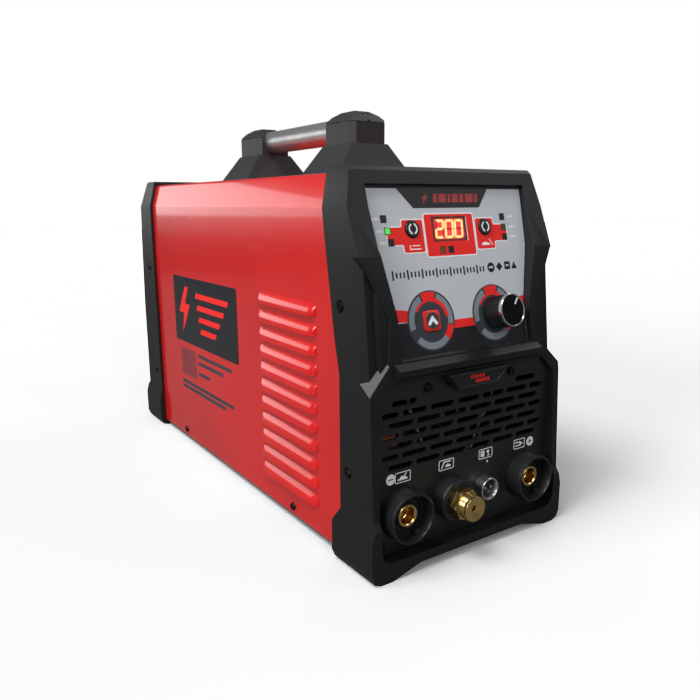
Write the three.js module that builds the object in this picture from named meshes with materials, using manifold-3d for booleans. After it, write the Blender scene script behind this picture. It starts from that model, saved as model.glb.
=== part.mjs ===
import * as THREE from 'three';
import { mergeVertices } from 'three/addons/utils/BufferGeometryUtils.js';
import Module from 'manifold-3d';

// Portable inverter TIG welder. Millimetres, +Z up, front towards -Y.
// The height datum is the floor; depth is counted back from the front frame's foot line.

const wasm = await Module();
wasm.setup();

// ---------- Driving dimensions ----------
const GAP = 0.3; // clearance between neighbouring pieces
const SHEET = 1.2; // folded sheet steel

// End frames, shared front section
const FRAME_HEIGHT = 250;
const FRAME_HALF = 82;
const SHOULDER_Z = FRAME_HEIGHT - 24;
const SHOULDER_IN = 6;
const FOOT_PROUD = 2.5;
const FOOT_TOP = 38;
const FOOT_SLOPE = 10;
const FOOT_CORNER = 7;
const PAD_INNER = 69;
const ARCH_HALF = 46;
const ARCH_RISE = 6.5;
const WALL = 2.7; // side wall of both frames

// Front frame, depth of the face at each height
const FACE_FOOT = -2;
const FACE_LOW = 0.5;
const FACE_SILL = 4.7;
const SILL_Z = 119;
const FACE_CHEEK = 16.6;
const CHEEK_Z = 198;
const FACE_SHOULDER = 27.3;
const FACE_TOP = 33;
const EDGE = 2.5; // softened top edge
const SKIRT_LOW = 36.5; // rear edge of the side walls, low down
const SKIRT_KNEE_Z = 126;
const SKIRT_WAIST = 41.4;
const SKIRT_WAIST_Z = 147;
const SKIRT_NECK = 52;
const SKIRT_NECK_Z = 211;
const SKIRT_TOP = 57;
const SKIRT_FOOT = 43;
const FRONT_WALL = 14; // back face of the lower front ring

// Rear frame
const REAR_FRONT = 378;
const REAR_TOP = 400;
const REAR_SHOULDER = 407;
const REAR_WAIST = 414;
const REAR_WAIST_Z = 128;
const REAR_LOW = 415;
const REAR_FOOT = 420;
const REAR_LEDGE = 396; // inner face of the rear ring
const REAR_OPEN_HALF = FRAME_HALF - 9;
const REAR_OPEN_LOW = 16;
const REAR_OPEN_HIGH = FRAME_HEIGHT - 14;

// Case
const CASE_HALF = FRAME_HALF - WALL - GAP;
const CASE_SHOULDER_HALF = FRAME_HALF - SHOULDER_IN - 2.5;
const CASE_TOP = FRAME_HEIGHT - 3.4;
const CASE_LOW = 6;
const CASE_FRONT = 32.5;
const CASE_FRONT_KNEE_Z = 180;
const CASE_REAR = 385;
const BASE_Z = 4.5;
const BASE_HALF = CASE_HALF - 0.4;
const BASE_FLANGE = 16;

// Louvres
const LOUVRE_COUNT = 11;
const LOUVRE_FIRST_Z = 29;
const LOUVRE_PITCH = 13.2;
const LOUVRE_FRONT = 68;
const LOUVRE_REAR = 150;
const LOUVRE_PROUD = 3.2;
const LOUVRE_HEIGHT = 8.4;

// Leaning control panel
const PANEL_LEAN = 13.2 * Math.PI / 180;
const PANEL_Y = 15.1;
const PANEL_Z = 156.6;
const PANEL_TOP = 84.2;
const PANEL_MID = 44.6;
const PANEL_WAIST = 3.5;
const PANEL_BOTTOM = -22.2;
const PANEL_TOP_HALF = 66.5;
const PANEL_MID_HALF = 65.6;
const PANEL_LOW_HALF = 56.2;
const OVERLAY = 1;
const PANEL_BACK = 6; // depth of the moulding behind the overlay's face
const CASE_BEHIND_PANEL = 1.56; // cover's front edge behind the moulding, at the top
const CASE_FRONT_TOP = PANEL_Y + Math.tan(PANEL_LEAN) * (CASE_TOP + 1 - PANEL_Z) + PANEL_BACK
  + CASE_BEHIND_PANEL;
const DISPLAY_U = -2;
const DISPLAY_V = 56.9;
const DISPLAY_W = 30;
const DISPLAY_H = 16;
const MODE_RADIUS = 5.4;
const MODE_LEFT_U = -33;
const MODE_RIGHT_U = 28.7;
const MODE_V = 57.4;
const BUTTON_PROUD = 1.3;
const BUTTON_DEPTH = 7.3;
const DIAL_U = 27;
const SELECT_SIZE = 13.2;
const BOARD_HALF = 48;
const BOARD_FRONT = 9.3;
const BOARD_THICK = 1.6;

// Current knob
const KNOB_RADIUS = 10.8;
const KNOB_START = 1;
const KNOB_LENGTH = 16.6;
const KNOB_RIBS = 24;
const RIB_DEPTH = 0.7;
const RING_WIDTH = 1;
const RING_DEPTH = 2.2;
const SHAFT_RADIUS = 3;
const SHAFT_TIP = 13;
const KNOB_POINTER = 36 * Math.PI / 180;

// Ledge, name plate and lower front
const LEDGE_FRONT = 1.8;
const LEDGE_HALF = 61.7;
const LEDGE_LIP_Z = 131.2;
const LEDGE_TOP_Z = 136.4;
const LEDGE_UNDER_Z = 123.6;
const PLATE_U = 1.5;
const PLATE_TOP_HALF = 25;
const PLATE_LOW_HALF = 17.2;
const PLATE_LOW_Z = 113.6;
const PLATE_FRONT = -0.5;
const OPEN_HALF = 77;
const OPEN_LOW = 12.5;
const OPEN_CORNER = 8;
const OPEN_TOP_HALF = 66;
const OPEN_SIDE_Z = 112;
const SOCKET_PANEL_Y = 8;
const SOCKET_PANEL_THICK = 2.5;

// Grille
const SLOT_ROWS = 7;
const SLOT_TOP_Z = 110;
const ROW_PITCH = 6.75;
const SLOT_PITCH = 22.4;
const SLOT_LENGTH = 19.4;
const SLOT_HEIGHT = 3.6;
const SLOTS_PER_ROW = 6;
const STAGGER_REACH = 4.6; // how much further out the staggered rows run
const TOP_SLOT_INSET = 2.9; // the two slots beside the name plate sit nearer the middle

// Weld sockets
const SOCKET_X = 55;
const SOCKET_Z = 38.8;
const COLLAR_RADIUS = 16.8;
const COLLAR_WALL = 2.2;
const COLLAR_FRONT = -5;
const COLLAR_FLOOR = 4;
const INSERT_RADIUS = 7.5;
const INSERT_BORE = 5.5;
const INSERT_FRONT = 1;
const INSERT_DEPTH = 15;
const INSERT_REAR = 21.7;

// Torch and trigger connectors
const TORCH_X = -15;
const TORCH_Z = 39.3;
const TORCH_FLANGE = 14.4;
const TORCH_FLANGE_FRONT = -2.2;
const TORCH_NUT_FLATS = 18.4;
const TORCH_NUT_FRONT = -9.5;
const TORCH_RADIUS = 8.4;
const TORCH_TIP = -17;
const TORCH_BORE = 1.75;
const TORCH_DISH_RADIUS = 7.4;
const TORCH_DISH_DEPTH = 1.5;
const TRIGGER_X = 15;
const TRIGGER_Z = 39.3;
const TRIGGER_RADIUS = 8;
const TRIGGER_INNER = 6.5;
const TRIGGER_FRONT = 0;
const PIN_SPREAD = 2.8;
const PIN_RISE = 0.7;

// Handle
const POST_FRONT_Y = 137.8;
const POST_REAR_Y = 286.5;
const POST_BASE_X = 32.5;
const POST_BASE_Y = 27.5;
const POST_HALF_X = 16.2;
const POST_HALF_Y = 19.4;
const POST_CREASE_Z = CASE_TOP + 24.4;
const POST_SEAM_Z = CASE_TOP + 39.4;
const CAP_TOP_Z = CASE_TOP + 47.9;
const TUBE_RADIUS = 9.5;
const TUBE_Z = CASE_TOP + 35.6;
const TUBE_WALL = 1.6;

// Fan
const FAN_SIZE = 120;
const FAN_DEPTH = 25;
const FAN_Z = 118;
const FAN_BORE = 57;
const FAN_BLADES = 7;
const FAN_HUB = 20;
const PANEL_REAR_Y = 397;
const PANEL_REAR_THICK = 2;

// Rear fittings
const SWITCH_X = 45;
const SWITCH_Z = 209;
const ROCKER_TILT = 10 * Math.PI / 180;
const FITTING_X = 48;
const FITTING_Z = 36;
const STUD_Z = 34;

// Screws
const SCREW_HEAD = 3.3;
const SCREW_SHANK = 1.5;
const SIDE_SCREWS_FRONT = { upper: { y: 35, z: 168 }, lower: { y: 28, z: 64 } };
const SIDE_SCREWS_REAR = { upper: { y: 391, z: 166 }, lower: { y: 391, z: 59 } };
const FACE_SCREWS = { upper: { x: -34.9, z: 116.6 }, lower: { x: -70.5, z: 20.5 } };

// ---------- Materials ----------
const paint = (color, roughness, metalness = 0) =>
  new THREE.MeshStandardMaterial({ color, roughness, metalness });
const blackPlastic = paint(0x1b1c1e, 0.62);
const panelPlastic = paint(0x131416, 0.5);
const redPaint = paint(0xd8221c, 0.25, 0.1);
const greySteel = paint(0x9a9da1, 0.45, 0.8);
const overlayFilm = paint(0xa9acb0, 0.55);
const smokedAcrylic = paint(0x240606, 0.08);
const redPlastic = paint(0xc8201c, 0.4);
const knobPlastic = paint(0x101012, 0.35);
const chrome = paint(0xd8dade, 0.12, 1);
const brass = paint(0xc9a14a, 0.28, 1);
const nickel = paint(0xb9bbbd, 0.25, 1);
const tubeAluminium = paint(0xd9dadb, 0.4, 0.7);
const sinkAluminium = paint(0xa8abae, 0.45, 0.9);
const boardGreen = paint(0x1d5a35, 0.5);
const copper = paint(0xb8683c, 0.3, 1);
const blackZinc = paint(0x17181a, 0.4, 0.6);
const coreFerrite = paint(0x3a3532, 0.7);
const sleeveBlue = paint(0x20304f, 0.4);

// ---------- Solid helpers ----------
function solid(geometry) {
  const bare = geometry.clone();
  bare.deleteAttribute('normal');
  bare.deleteAttribute('uv');
  const merged = mergeVertices(bare, 1e-4);
  return new wasm.Manifold(new wasm.Mesh({
    numProp: 3,
    vertProperties: new Float32Array(merged.attributes.position.array),
    triVerts: new Uint32Array(merged.index.array),
  }));
}

function geometryOf(body) {
  const mesh = body.getMesh();
  const geometry = new THREE.BufferGeometry();
  geometry.setAttribute('position', new THREE.BufferAttribute(mesh.vertProperties, mesh.numProp));
  geometry.setIndex(new THREE.BufferAttribute(mesh.triVerts, 1));
  geometry.computeVertexNormals();
  return geometry;
}

const basis = (a, b, c, origin = [0, 0, 0]) => new THREE.Matrix4()
  .makeBasis(new THREE.Vector3(...a), new THREE.Vector3(...b), new THREE.Vector3(...c))
  .setPosition(...origin);

const X = [1, 0, 0];
const Y = [0, 1, 0];
const Z = [0, 0, 1];
const PANEL_UP = [0, Math.sin(PANEL_LEAN), Math.cos(PANEL_LEAN)];
const PANEL_OUT = [0, -Math.cos(PANEL_LEAN), Math.sin(PANEL_LEAN)];
const onPanel = basis(X, PANEL_UP, PANEL_OUT, [0, PANEL_Y, PANEL_Z]);

function prism(points, depth) {
  const shape = new THREE.Shape(points.map(([a, b]) => new THREE.Vector2(a, b)));
  return new THREE.ExtrudeGeometry(shape, { depth, bevelEnabled: false, steps: 1 });
}
// Outline given in (y, z), run along X
const alongX = (points, from, to) =>
  solid(prism(points, to - from).applyMatrix4(basis(Y, Z, X, [from, 0, 0])));
// Outline given in (x, z), run along Y
const alongY = (points, from, to) =>
  solid(prism(points, to - from).applyMatrix4(basis(X, Z, [0, -1, 0], [0, to, 0])));
// Outline given in (x, y), run along Z
const alongZ = (points, from, to) =>
  solid(prism(points, to - from).applyMatrix4(basis(X, Y, Z, [0, 0, from])));
// Outline given in the leaning panel's own plane, run along its normal
const alongPanel = (points, from, to) => {
  const body = prism(points, to - from);
  body.translate(0, 0, from);
  return solid(body.applyMatrix4(onPanel));
};

const box = (x0, x1, y0, y1, z0, z1) => {
  const body = new THREE.BoxGeometry(x1 - x0, y1 - y0, z1 - z0);
  body.translate((x0 + x1) / 2, (y0 + y1) / 2, (z0 + z1) / 2);
  return solid(body);
};
const rodY = (radius, from, to, x, z, sides = 32, tip = radius) => {
  const body = new THREE.CylinderGeometry(radius, tip, to - from, sides);
  body.translate(x, (from + to) / 2, z);
  return solid(body);
};
const rodX = (radius, from, to, y, z, sides = 20) => {
  const body = new THREE.CylinderGeometry(radius, radius, to - from, sides);
  body.rotateZ(-Math.PI / 2);
  body.translate((from + to) / 2, y, z);
  return solid(body);
};
const rodZ = (radius, from, to, x, y, sides = 24, top = radius) => {
  const body = new THREE.CylinderGeometry(top, radius, to - from, sides);
  body.rotateX(Math.PI / 2);
  body.translate(x, y, (from + to) / 2);
  return solid(body);
};
const rodPanel = (radius, from, to, u, v, sides = 32, tip = radius) => {
  const body = new THREE.CylinderGeometry(tip, radius, to - from, sides);
  body.rotateX(Math.PI / 2);
  body.translate(u, v, (from + to) / 2);
  return solid(body.applyMatrix4(onPanel));
};

const both = (half) => [...half, ...half.slice().reverse().map(([a, b]) => [-a, b])];
const mirrored = (body) => body.mirror([1, 0, 0]);
const union = (bodies) => bodies.reduce((sum, body) => sum.add(body));
const cut = (body, tools) => tools.reduce((rest, tool) => rest.subtract(tool), body);
const rectangle = (a0, a1, b0, b1) => [[a0, b0], [a1, b0], [a1, b1], [a0, b1]];
function rounded(halfA, halfB, radius, steps = 3, centreA = 0, centreB = 0) {
  const points = [];
  for (let corner = 0; corner < 4; corner += 1) {
    const signA = corner === 0 || corner === 3 ? 1 : -1;
    const signB = corner < 2 ? 1 : -1;
    for (let step = 0; step <= steps; step += 1) {
      const angle = (corner + step / steps) * Math.PI / 2;
      points.push([
        centreA + signA * (halfA - radius) + radius * Math.cos(angle),
        centreB + signB * (halfB - radius) + radius * Math.sin(angle),
      ]);
    }
  }
  return points;
}

const machine = new THREE.Group();
machine.name = 'tig_welder';
const depthCentre = (TORCH_TIP + REAR_FOOT) / 2;
function add(name, body, material) {
  const geometry = geometryOf(body);
  geometry.translate(0, -depthCentre, 0);
  const mesh = new THREE.Mesh(geometry, material);
  mesh.name = name;
  machine.add(mesh);
}

// ---------- Shared outlines ----------
const footHalf = FRAME_HALF + FOOT_PROUD;
const frameOutline = both([
  [ARCH_HALF, ARCH_RISE],
  [PAD_INNER, 0],
  [footHalf - FOOT_CORNER, 0],
  [footHalf - FOOT_CORNER * 0.3, FOOT_CORNER * 0.3],
  [footHalf, FOOT_CORNER],
  [footHalf, FOOT_TOP - FOOT_SLOPE],
  [FRAME_HALF, FOOT_TOP],
  [FRAME_HALF, SHOULDER_Z],
  [FRAME_HALF - SHOULDER_IN, FRAME_HEIGHT],
]);
const cavityOutline = both([
  [FRAME_HALF - WALL, BASE_Z - GAP],
  [FRAME_HALF - WALL, SHOULDER_Z],
  [CASE_SHOULDER_HALF + GAP, CASE_TOP + GAP],
]);
const panelDepth = (z) => PANEL_Y + Math.tan(PANEL_LEAN) * (z - PANEL_Z);
const panelOutline = (grow) => both([
  [PANEL_LOW_HALF + grow, PANEL_BOTTOM - grow],
  [PANEL_LOW_HALF + grow, PANEL_WAIST],
  [PANEL_MID_HALF + grow, PANEL_MID],
  [PANEL_TOP_HALF + grow, PANEL_TOP + grow],
]);
const openingOutline = (shrink) => both([
  [OPEN_HALF - OPEN_CORNER, OPEN_LOW + shrink],
  [OPEN_HALF - OPEN_CORNER * 0.3 - shrink * 0.7, OPEN_LOW + OPEN_CORNER * 0.3 + shrink * 0.7],
  [OPEN_HALF - shrink, OPEN_LOW + OPEN_CORNER],
  [OPEN_HALF - shrink, OPEN_SIDE_Z],
  [OPEN_TOP_HALF - shrink * 0.4, LEDGE_UNDER_Z - shrink],
]);

// ---------- Screws ----------
const SCREW_HEAD_DEPTH = 1.9;
const RECESS_DEPTH = 1.1;
const CROSS_LONG = 2.1;
const CROSS_WIDE = 0.45;
function sideScrew(side, y, z) {
  const seat = FRAME_HALF - RECESS_DEPTH;
  const head = rodX(SCREW_HEAD, seat + GAP, seat + SCREW_HEAD_DEPTH, y, z, 16);
  const shank = rodX(SCREW_SHANK, FRAME_HALF - WALL - 3, seat + 1, y, z, 10);
  const face = seat + SCREW_HEAD_DEPTH;
  const cross = box(face - 0.9, face + 1, y - CROSS_LONG, y + CROSS_LONG, z - CROSS_WIDE, z + CROSS_WIDE)
    .add(box(face - 0.9, face + 1, y - CROSS_WIDE, y + CROSS_WIDE, z - CROSS_LONG, z + CROSS_LONG));
  const body = head.add(shank).subtract(cross);
  return side > 0 ? body : mirrored(body);
}
function sideScrewHole(y, z) {
  const seat = FRAME_HALF - RECESS_DEPTH;
  const hole = rodX(SCREW_HEAD + GAP + 0.4, seat, FRAME_HALF + 5, y, z, 20)
    .add(rodX(SCREW_SHANK + GAP, FRAME_HALF - WALL - 5, seat + 1, y, z, 10));
  return hole.add(mirrored(hole));
}
function faceScrew(x, z) {
  const face = SOCKET_PANEL_Y - SCREW_HEAD_DEPTH - GAP;
  const cross = box(x - CROSS_LONG, x + CROSS_LONG, face - 1, face + 0.9, z - CROSS_WIDE, z + CROSS_WIDE)
    .add(box(x - CROSS_WIDE, x + CROSS_WIDE, face - 1, face + 0.9, z - CROSS_LONG, z + CROSS_LONG));
  return rodY(SCREW_HEAD, face, SOCKET_PANEL_Y - GAP, x, z, 16)
    .add(rodY(SCREW_SHANK, SOCKET_PANEL_Y - 1, FRONT_WALL + 4, x, z, 10))
    .subtract(cross);
}

// ---------- Front frame ----------
{
  const side = alongX([
    [FACE_FOOT, 0], [FACE_FOOT, FOOT_TOP - EDGE], [FACE_LOW, FOOT_TOP + EDGE],
    [FACE_SILL - 1, SILL_Z - 6], [FACE_SILL, SILL_Z], [FACE_CHEEK, CHEEK_Z],
    [FACE_SHOULDER, SHOULDER_Z], [FACE_TOP, FRAME_HEIGHT - EDGE], [FACE_TOP + EDGE, FRAME_HEIGHT],
    [SKIRT_TOP, FRAME_HEIGHT], [SKIRT_NECK, SKIRT_NECK_Z], [SKIRT_WAIST, SKIRT_WAIST_Z],
    [SKIRT_LOW, SKIRT_KNEE_Z], [SKIRT_LOW, FOOT_TOP], [SKIRT_FOOT, FOOT_TOP - FOOT_SLOPE],
    [SKIRT_FOOT, 0],
  ], -footHalf - 1, footHalf + 1);
  const shell = alongY(frameOutline, FACE_FOOT - 1, SKIRT_TOP + 1).intersect(side);
  const knee = PANEL_Z - (PANEL_Y + PANEL_BACK - FRONT_WALL) / Math.tan(PANEL_LEAN);
  const cavity = alongY(cavityOutline, FACE_FOOT, SKIRT_TOP + 5).intersect(alongX([
    [FRONT_WALL, 0], [FRONT_WALL, knee], [panelDepth(CASE_TOP + 1) + PANEL_BACK, CASE_TOP + 1],
    [SKIRT_TOP + 5, CASE_TOP + 1], [SKIRT_TOP + 5, 0],
  ], -FRAME_HALF, FRAME_HALF));

  // Recessed control panel seat with its window for the electronics
  const recess = alongPanel(panelOutline(GAP), -OVERLAY - GAP, 40);
  const window = alongPanel(
    rectangle(-BOARD_HALF - 2, BOARD_HALF + 2, PANEL_BOTTOM + 6, PANEL_TOP - 6), -20, 5);

  // Stepped scallop on each front corner
  const DIAGONAL_X = 62.6;
  const DIAGONAL_Z = 160;
  const FOOT_X = 65.9;
  const LIP_Z = 132.4;
  const OUTER_Z = 118;
  const FLOOR_Y = 10;
  const FLOOR_LEAN = 0.1;
  const LIP_RISE = 0.67;
  const slope = (LIP_Z - OUTER_Z) / (FRAME_HALF - FOOT_X);
  const beyond = FRAME_HALF + 8;
  const upper = alongY([
    [FOOT_X, LIP_Z + 5], [beyond, LIP_Z + 5], [beyond, CHEEK_Z], [FRAME_HALF - 0.6, CHEEK_Z],
    [DIAGONAL_X, DIAGONAL_Z],
  ], FACE_FOOT - 20, 40);
  const lowerShear = new THREE.Matrix4().set(
    1, 0, 0, 0, 0, 1, 0, 0, 0, LIP_RISE, 1, -LIP_RISE * FACE_SILL, 0, 0, 0, 1);
  const lowerPrism = prism([
    [FOOT_X, LIP_Z + 12], [FOOT_X, LIP_Z], [beyond, OUTER_Z - slope * 8], [beyond, LIP_Z + 12],
  ], 70).applyMatrix4(basis(X, Z, [0, -1, 0], [0, 40, 0])).applyMatrix4(lowerShear);
  const plan = prism([
    [FOOT_X - 8, -40], [beyond, -40], [beyond, FLOOR_Y + 10], [FRAME_HALF, FLOOR_Y + 4],
    [FRAME_HALF - 4.5, FLOOR_Y], [FOOT_X + 5.6, FLOOR_Y], [FOOT_X + 5.2, FLOOR_Y - 2.6],
    [FOOT_X - 8, FLOOR_Y - 2.6],
  ], 120).applyMatrix4(basis(X, Y, Z, [0, 0, SILL_Z - 20])).applyMatrix4(new THREE.Matrix4().set(
    1, 0, 0, 0, 0, 1, FLOOR_LEAN, -FLOOR_LEAN * SILL_Z, 0, 0, 1, 0, 0, 0, 0, 1));
  const scallop = upper.add(solid(lowerPrism)).intersect(solid(plan));

  const opening = alongY(openingOutline(0), FACE_FOOT - 5, FRONT_WALL + 1);
  const ledge = alongX([
    [LEDGE_FRONT, LEDGE_LIP_Z], [panelDepth(LEDGE_TOP_Z) - 0.2, LEDGE_TOP_Z],
    [FRONT_WALL, LEDGE_TOP_Z], [FRONT_WALL, LEDGE_UNDER_Z], [SOCKET_PANEL_Y, LEDGE_UNDER_Z],
    [LEDGE_FRONT + 0.6, LEDGE_LIP_Z - 4.2],
  ], -LEDGE_HALF, LEDGE_HALF);
  const screwHoles = Object.values(SIDE_SCREWS_FRONT).map(({ y, z }) => sideScrewHole(y, z));
  let frame = cut(shell, [cavity, recess, window, scallop, mirrored(scallop), opening]).add(ledge);
  // The ledge keeps clear of the overlay and of the electronics window
  frame = cut(frame, [
    alongPanel(rectangle(-PANEL_LOW_HALF - GAP, PANEL_LOW_HALF + GAP, PANEL_BOTTOM - GAP, 0),
      -OVERLAY - GAP, GAP),
    window, ...screwHoles,
  ]);
  add('front_bezel', frame, blackPlastic);
}

// ---------- Cover and base ----------
{
  const outline = (inset) => both([
    [CASE_HALF - inset, CASE_LOW - (inset ? 10 : 0)],
    [CASE_HALF - inset, SHOULDER_Z - inset * 0.4],
    [CASE_SHOULDER_HALF - inset * 0.8, CASE_TOP - inset],
  ]);
  const sideShape = alongX([
    [CASE_FRONT, 0], [CASE_FRONT, CASE_FRONT_KNEE_Z], [CASE_FRONT_TOP, CASE_TOP + 1],
    [CASE_REAR, CASE_TOP + 1], [CASE_REAR, 0],
  ], -CASE_HALF - 1, CASE_HALF + 1);
  let cover = alongY(outline(0), CASE_FRONT, CASE_REAR)
    .subtract(alongY(outline(SHEET), CASE_FRONT - 5, CASE_REAR + 5))
    .intersect(sideShape);
  const out = CASE_HALF + LOUVRE_PROUD;
  const rise = LOUVRE_HEIGHT / 2;
  const inside = CASE_HALF - SHEET;
  const hoods = [];
  const vents = [];
  for (let row = 0; row < LOUVRE_COUNT; row += 1) {
    const z = LOUVRE_FIRST_Z + row * LOUVRE_PITCH;
    const hood = alongY([
      [CASE_HALF - 0.5, z + rise], [CASE_HALF + 0.3, z + rise], [out - 0.9, z + rise * 0.35],
      [out, z - rise * 0.3], [out, z - rise], [CASE_HALF - 0.5, z - rise],
    ], LOUVRE_FRONT, LOUVRE_REAR).intersect(alongX(rounded(
      (LOUVRE_REAR - LOUVRE_FRONT) / 2, rise, rise * 0.9, 1, (LOUVRE_FRONT + LOUVRE_REAR) / 2, z,
    ), 0, out + 1));
    const vent = alongY([
      [inside - 1, z + rise * 0.4], [CASE_HALF, z + rise * 0.4], [out - 1.7, z],
      [out - 0.9, z - rise * 0.4], [out - 0.9, z - rise - 1], [inside - 1, z - rise - 1],
    ], LOUVRE_FRONT + 4, LOUVRE_REAR - 4);
    hoods.push(hood, mirrored(hood));
    vents.push(vent, mirrored(vent));
  }
  const shankHoles = Object.values(SIDE_SCREWS_FRONT).map(({ y, z }) => sideScrewHole(y, z));
  cover = cut(union([cover, ...hoods]), [...vents, ...shankHoles]);
  add('cover', cover, redPaint);

  const baseRear = REAR_LEDGE - 0.5;
  const baseFront = FRONT_WALL + 1;
  const floor = box(-BASE_HALF, BASE_HALF, baseFront, baseRear, BASE_Z, BASE_Z + SHEET);
  const flangeOut = CASE_HALF - SHEET - GAP;
  const flange = box(flangeOut - SHEET, flangeOut, baseFront, baseRear, BASE_Z, BASE_FLANGE);
  add('base_plate', union([floor, flange, mirrored(flange)]), greySteel);
}

// ---------- Socket panel with the air grille ----------
{
  const back = SOCKET_PANEL_Y + SOCKET_PANEL_THICK;
  let panel = alongY(openingOutline(GAP), SOCKET_PANEL_Y, back);
  const slots = [];
  const slot = (x0, x1, z) => slots.push(alongY(rounded(
    (x1 - x0) / 2, SLOT_HEIGHT / 2, SLOT_HEIGHT * 0.42, 1, (x0 + x1) / 2, z,
  ), SOCKET_PANEL_Y - 1, back + 1));
  for (let row = 0; row < SLOT_ROWS; row += 1) {
    const z = SLOT_TOP_Z - row * ROW_PITCH;
    const staggered = row % 2 === 1;
    const count = staggered ? SLOTS_PER_ROW + 1 : SLOTS_PER_ROW;
    const reach = (SLOTS_PER_ROW - 1) / 2 * SLOT_PITCH + SLOT_LENGTH / 2
      + (staggered ? STAGGER_REACH : 0);
    for (let index = 0; index < count; index += 1) {
      if (row === 0 && index > 0 && index < count - 1) continue;
      const inset = row > 0 ? 0 : (index > 0 ? -TOP_SLOT_INSET : TOP_SLOT_INSET);
      const x = (index - (count - 1) / 2) * SLOT_PITCH + inset;
      const x0 = Math.max(x - SLOT_LENGTH / 2, -reach);
      const x1 = Math.min(x + SLOT_LENGTH / 2, reach);
      slot(x0, x1, z);
    }
  }
  const through = [
    rodY(11 + GAP, SOCKET_PANEL_Y - 1, back + 1, -SOCKET_X, SOCKET_Z, 24),
    rodY(11 + GAP, SOCKET_PANEL_Y - 1, back + 1, SOCKET_X, SOCKET_Z, 24),
    rodY(TORCH_RADIUS + GAP, SOCKET_PANEL_Y - 1, back + 1, TORCH_X, TORCH_Z, 24),
    rodY(TRIGGER_RADIUS - 1 + GAP, SOCKET_PANEL_Y - 1, back + 1, TRIGGER_X, TRIGGER_Z, 24),
    ...Object.values(FACE_SCREWS).map(({ x, z }) =>
      rodY(SCREW_SHANK + GAP, SOCKET_PANEL_Y - 1, back + 1, x, z, 10)),
  ];
  add('socket_panel', cut(panel, [...slots, ...through]), panelPlastic);
}

// ---------- Control overlay, display, buttons and boards ----------
{
  const selectHalf = SELECT_SIZE / 2;
  const overlay = cut(alongPanel(panelOutline(0), -OVERLAY, 0), [
    alongPanel(rectangle(DISPLAY_U - DISPLAY_W / 2, DISPLAY_U + DISPLAY_W / 2,
      DISPLAY_V - DISPLAY_H / 2, DISPLAY_V + DISPLAY_H / 2), -5, 5),
    rodPanel(MODE_RADIUS + GAP, -5, 5, MODE_LEFT_U, MODE_V, 24),
    rodPanel(MODE_RADIUS + GAP, -5, 5, MODE_RIGHT_U, MODE_V, 24),
    alongPanel(rounded(selectHalf + GAP, selectHalf + GAP, 2.5, 3, -DIAL_U, 0), -5, 5),
    rodPanel(SHAFT_RADIUS + 0.5, -5, 5, DIAL_U, 0, 20),
  ]);
  add('control_overlay', overlay, overlayFilm);
  add('display_window', alongPanel(rectangle(
    DISPLAY_U - DISPLAY_W / 2 + GAP, DISPLAY_U + DISPLAY_W / 2 - GAP,
    DISPLAY_V - DISPLAY_H / 2 + GAP, DISPLAY_V + DISPLAY_H / 2 - GAP), -OVERLAY, -0.1),
  smokedAcrylic);
  add('display_module', alongPanel(rectangle(
    DISPLAY_U - DISPLAY_W / 2 - 1, DISPLAY_U + DISPLAY_W / 2 + 1,
    DISPLAY_V - DISPLAY_H / 2 - 1, DISPLAY_V + DISPLAY_H / 2 + 1),
  -BOARD_FRONT + GAP, -OVERLAY - GAP), paint(0x2a2c2e, 0.5));
  add('display_board', alongPanel(rectangle(
    -BOARD_HALF, BOARD_HALF, PANEL_BOTTOM + 8, PANEL_TOP - 8,
  ), -BOARD_FRONT - BOARD_THICK, -BOARD_FRONT), boardGreen);
  const button = (u, v) => rodPanel(MODE_RADIUS, -BUTTON_DEPTH, BUTTON_PROUD, u, v, 24);
  add('mode_button_left', button(MODE_LEFT_U, MODE_V), knobPlastic);
  add('mode_button_right', button(MODE_RIGHT_U, MODE_V), knobPlastic);
  add('select_button', alongPanel(
    rounded(selectHalf, selectHalf, 2.2, 3, -DIAL_U, 0), -BUTTON_DEPTH, BUTTON_PROUD), redPlastic);

  add('potentiometer', alongPanel(rounded(8.2, 8.2, 1.5, 2, DIAL_U, 0),
    -BOARD_FRONT + GAP, -OVERLAY - GAP).subtract(
    rodPanel(SHAFT_RADIUS + GAP, -BOARD_FRONT + 2, 5, DIAL_U, 0, 20)), greySteel);
  add('knob_shaft', rodPanel(SHAFT_RADIUS, -BOARD_FRONT + 2.6, SHAFT_TIP, DIAL_U, 0, 20), nickel);

  const end = KNOB_START + KNOB_LENGTH;
  const shoulder = end - RING_DEPTH;
  const face = KNOB_RADIUS - RING_WIDTH - GAP;
  const barrel = new THREE.Shape();
  for (let step = 0; step < KNOB_RIBS * 4; step += 1) {
    const angle = step / (KNOB_RIBS * 4) * Math.PI * 2;
    const radius = KNOB_RADIUS - (step % 4 < 2 ? 0 : RIB_DEPTH);
    const point = [radius * Math.cos(angle), radius * Math.sin(angle)];
    if (step === 0) barrel.moveTo(...point); else barrel.lineTo(...point);
  }
  const barrelBody = new THREE.ExtrudeGeometry(barrel, {
    depth: shoulder - GAP - KNOB_START, bevelEnabled: false, steps: 1 });
  barrelBody.translate(DIAL_U, 0, KNOB_START);
  const pointer = prism(rectangle(-0.6, 0.6, face * 0.45, face + 1), 1.2);
  pointer.translate(0, 0, end - 0.5);
  pointer.rotateZ(-KNOB_POINTER);
  pointer.translate(DIAL_U, 0, 0);
  add('current_knob', cut(
    solid(barrelBody.applyMatrix4(onPanel))
      .add(rodPanel(face, KNOB_START + 1, end, DIAL_U, 0, 40)), [
      rodPanel(SHAFT_RADIUS + GAP, KNOB_START - 1, SHAFT_TIP + GAP, DIAL_U, 0, 20),
      solid(pointer.applyMatrix4(onPanel)),
    ]), knobPlastic);
  add('knob_ring', rodPanel(KNOB_RADIUS, shoulder, end + 0.2, DIAL_U, 0, 40)
    .subtract(rodPanel(KNOB_RADIUS - RING_WIDTH, shoulder - 1, end + 1, DIAL_U, 0, 40)), chrome);
}

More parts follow.
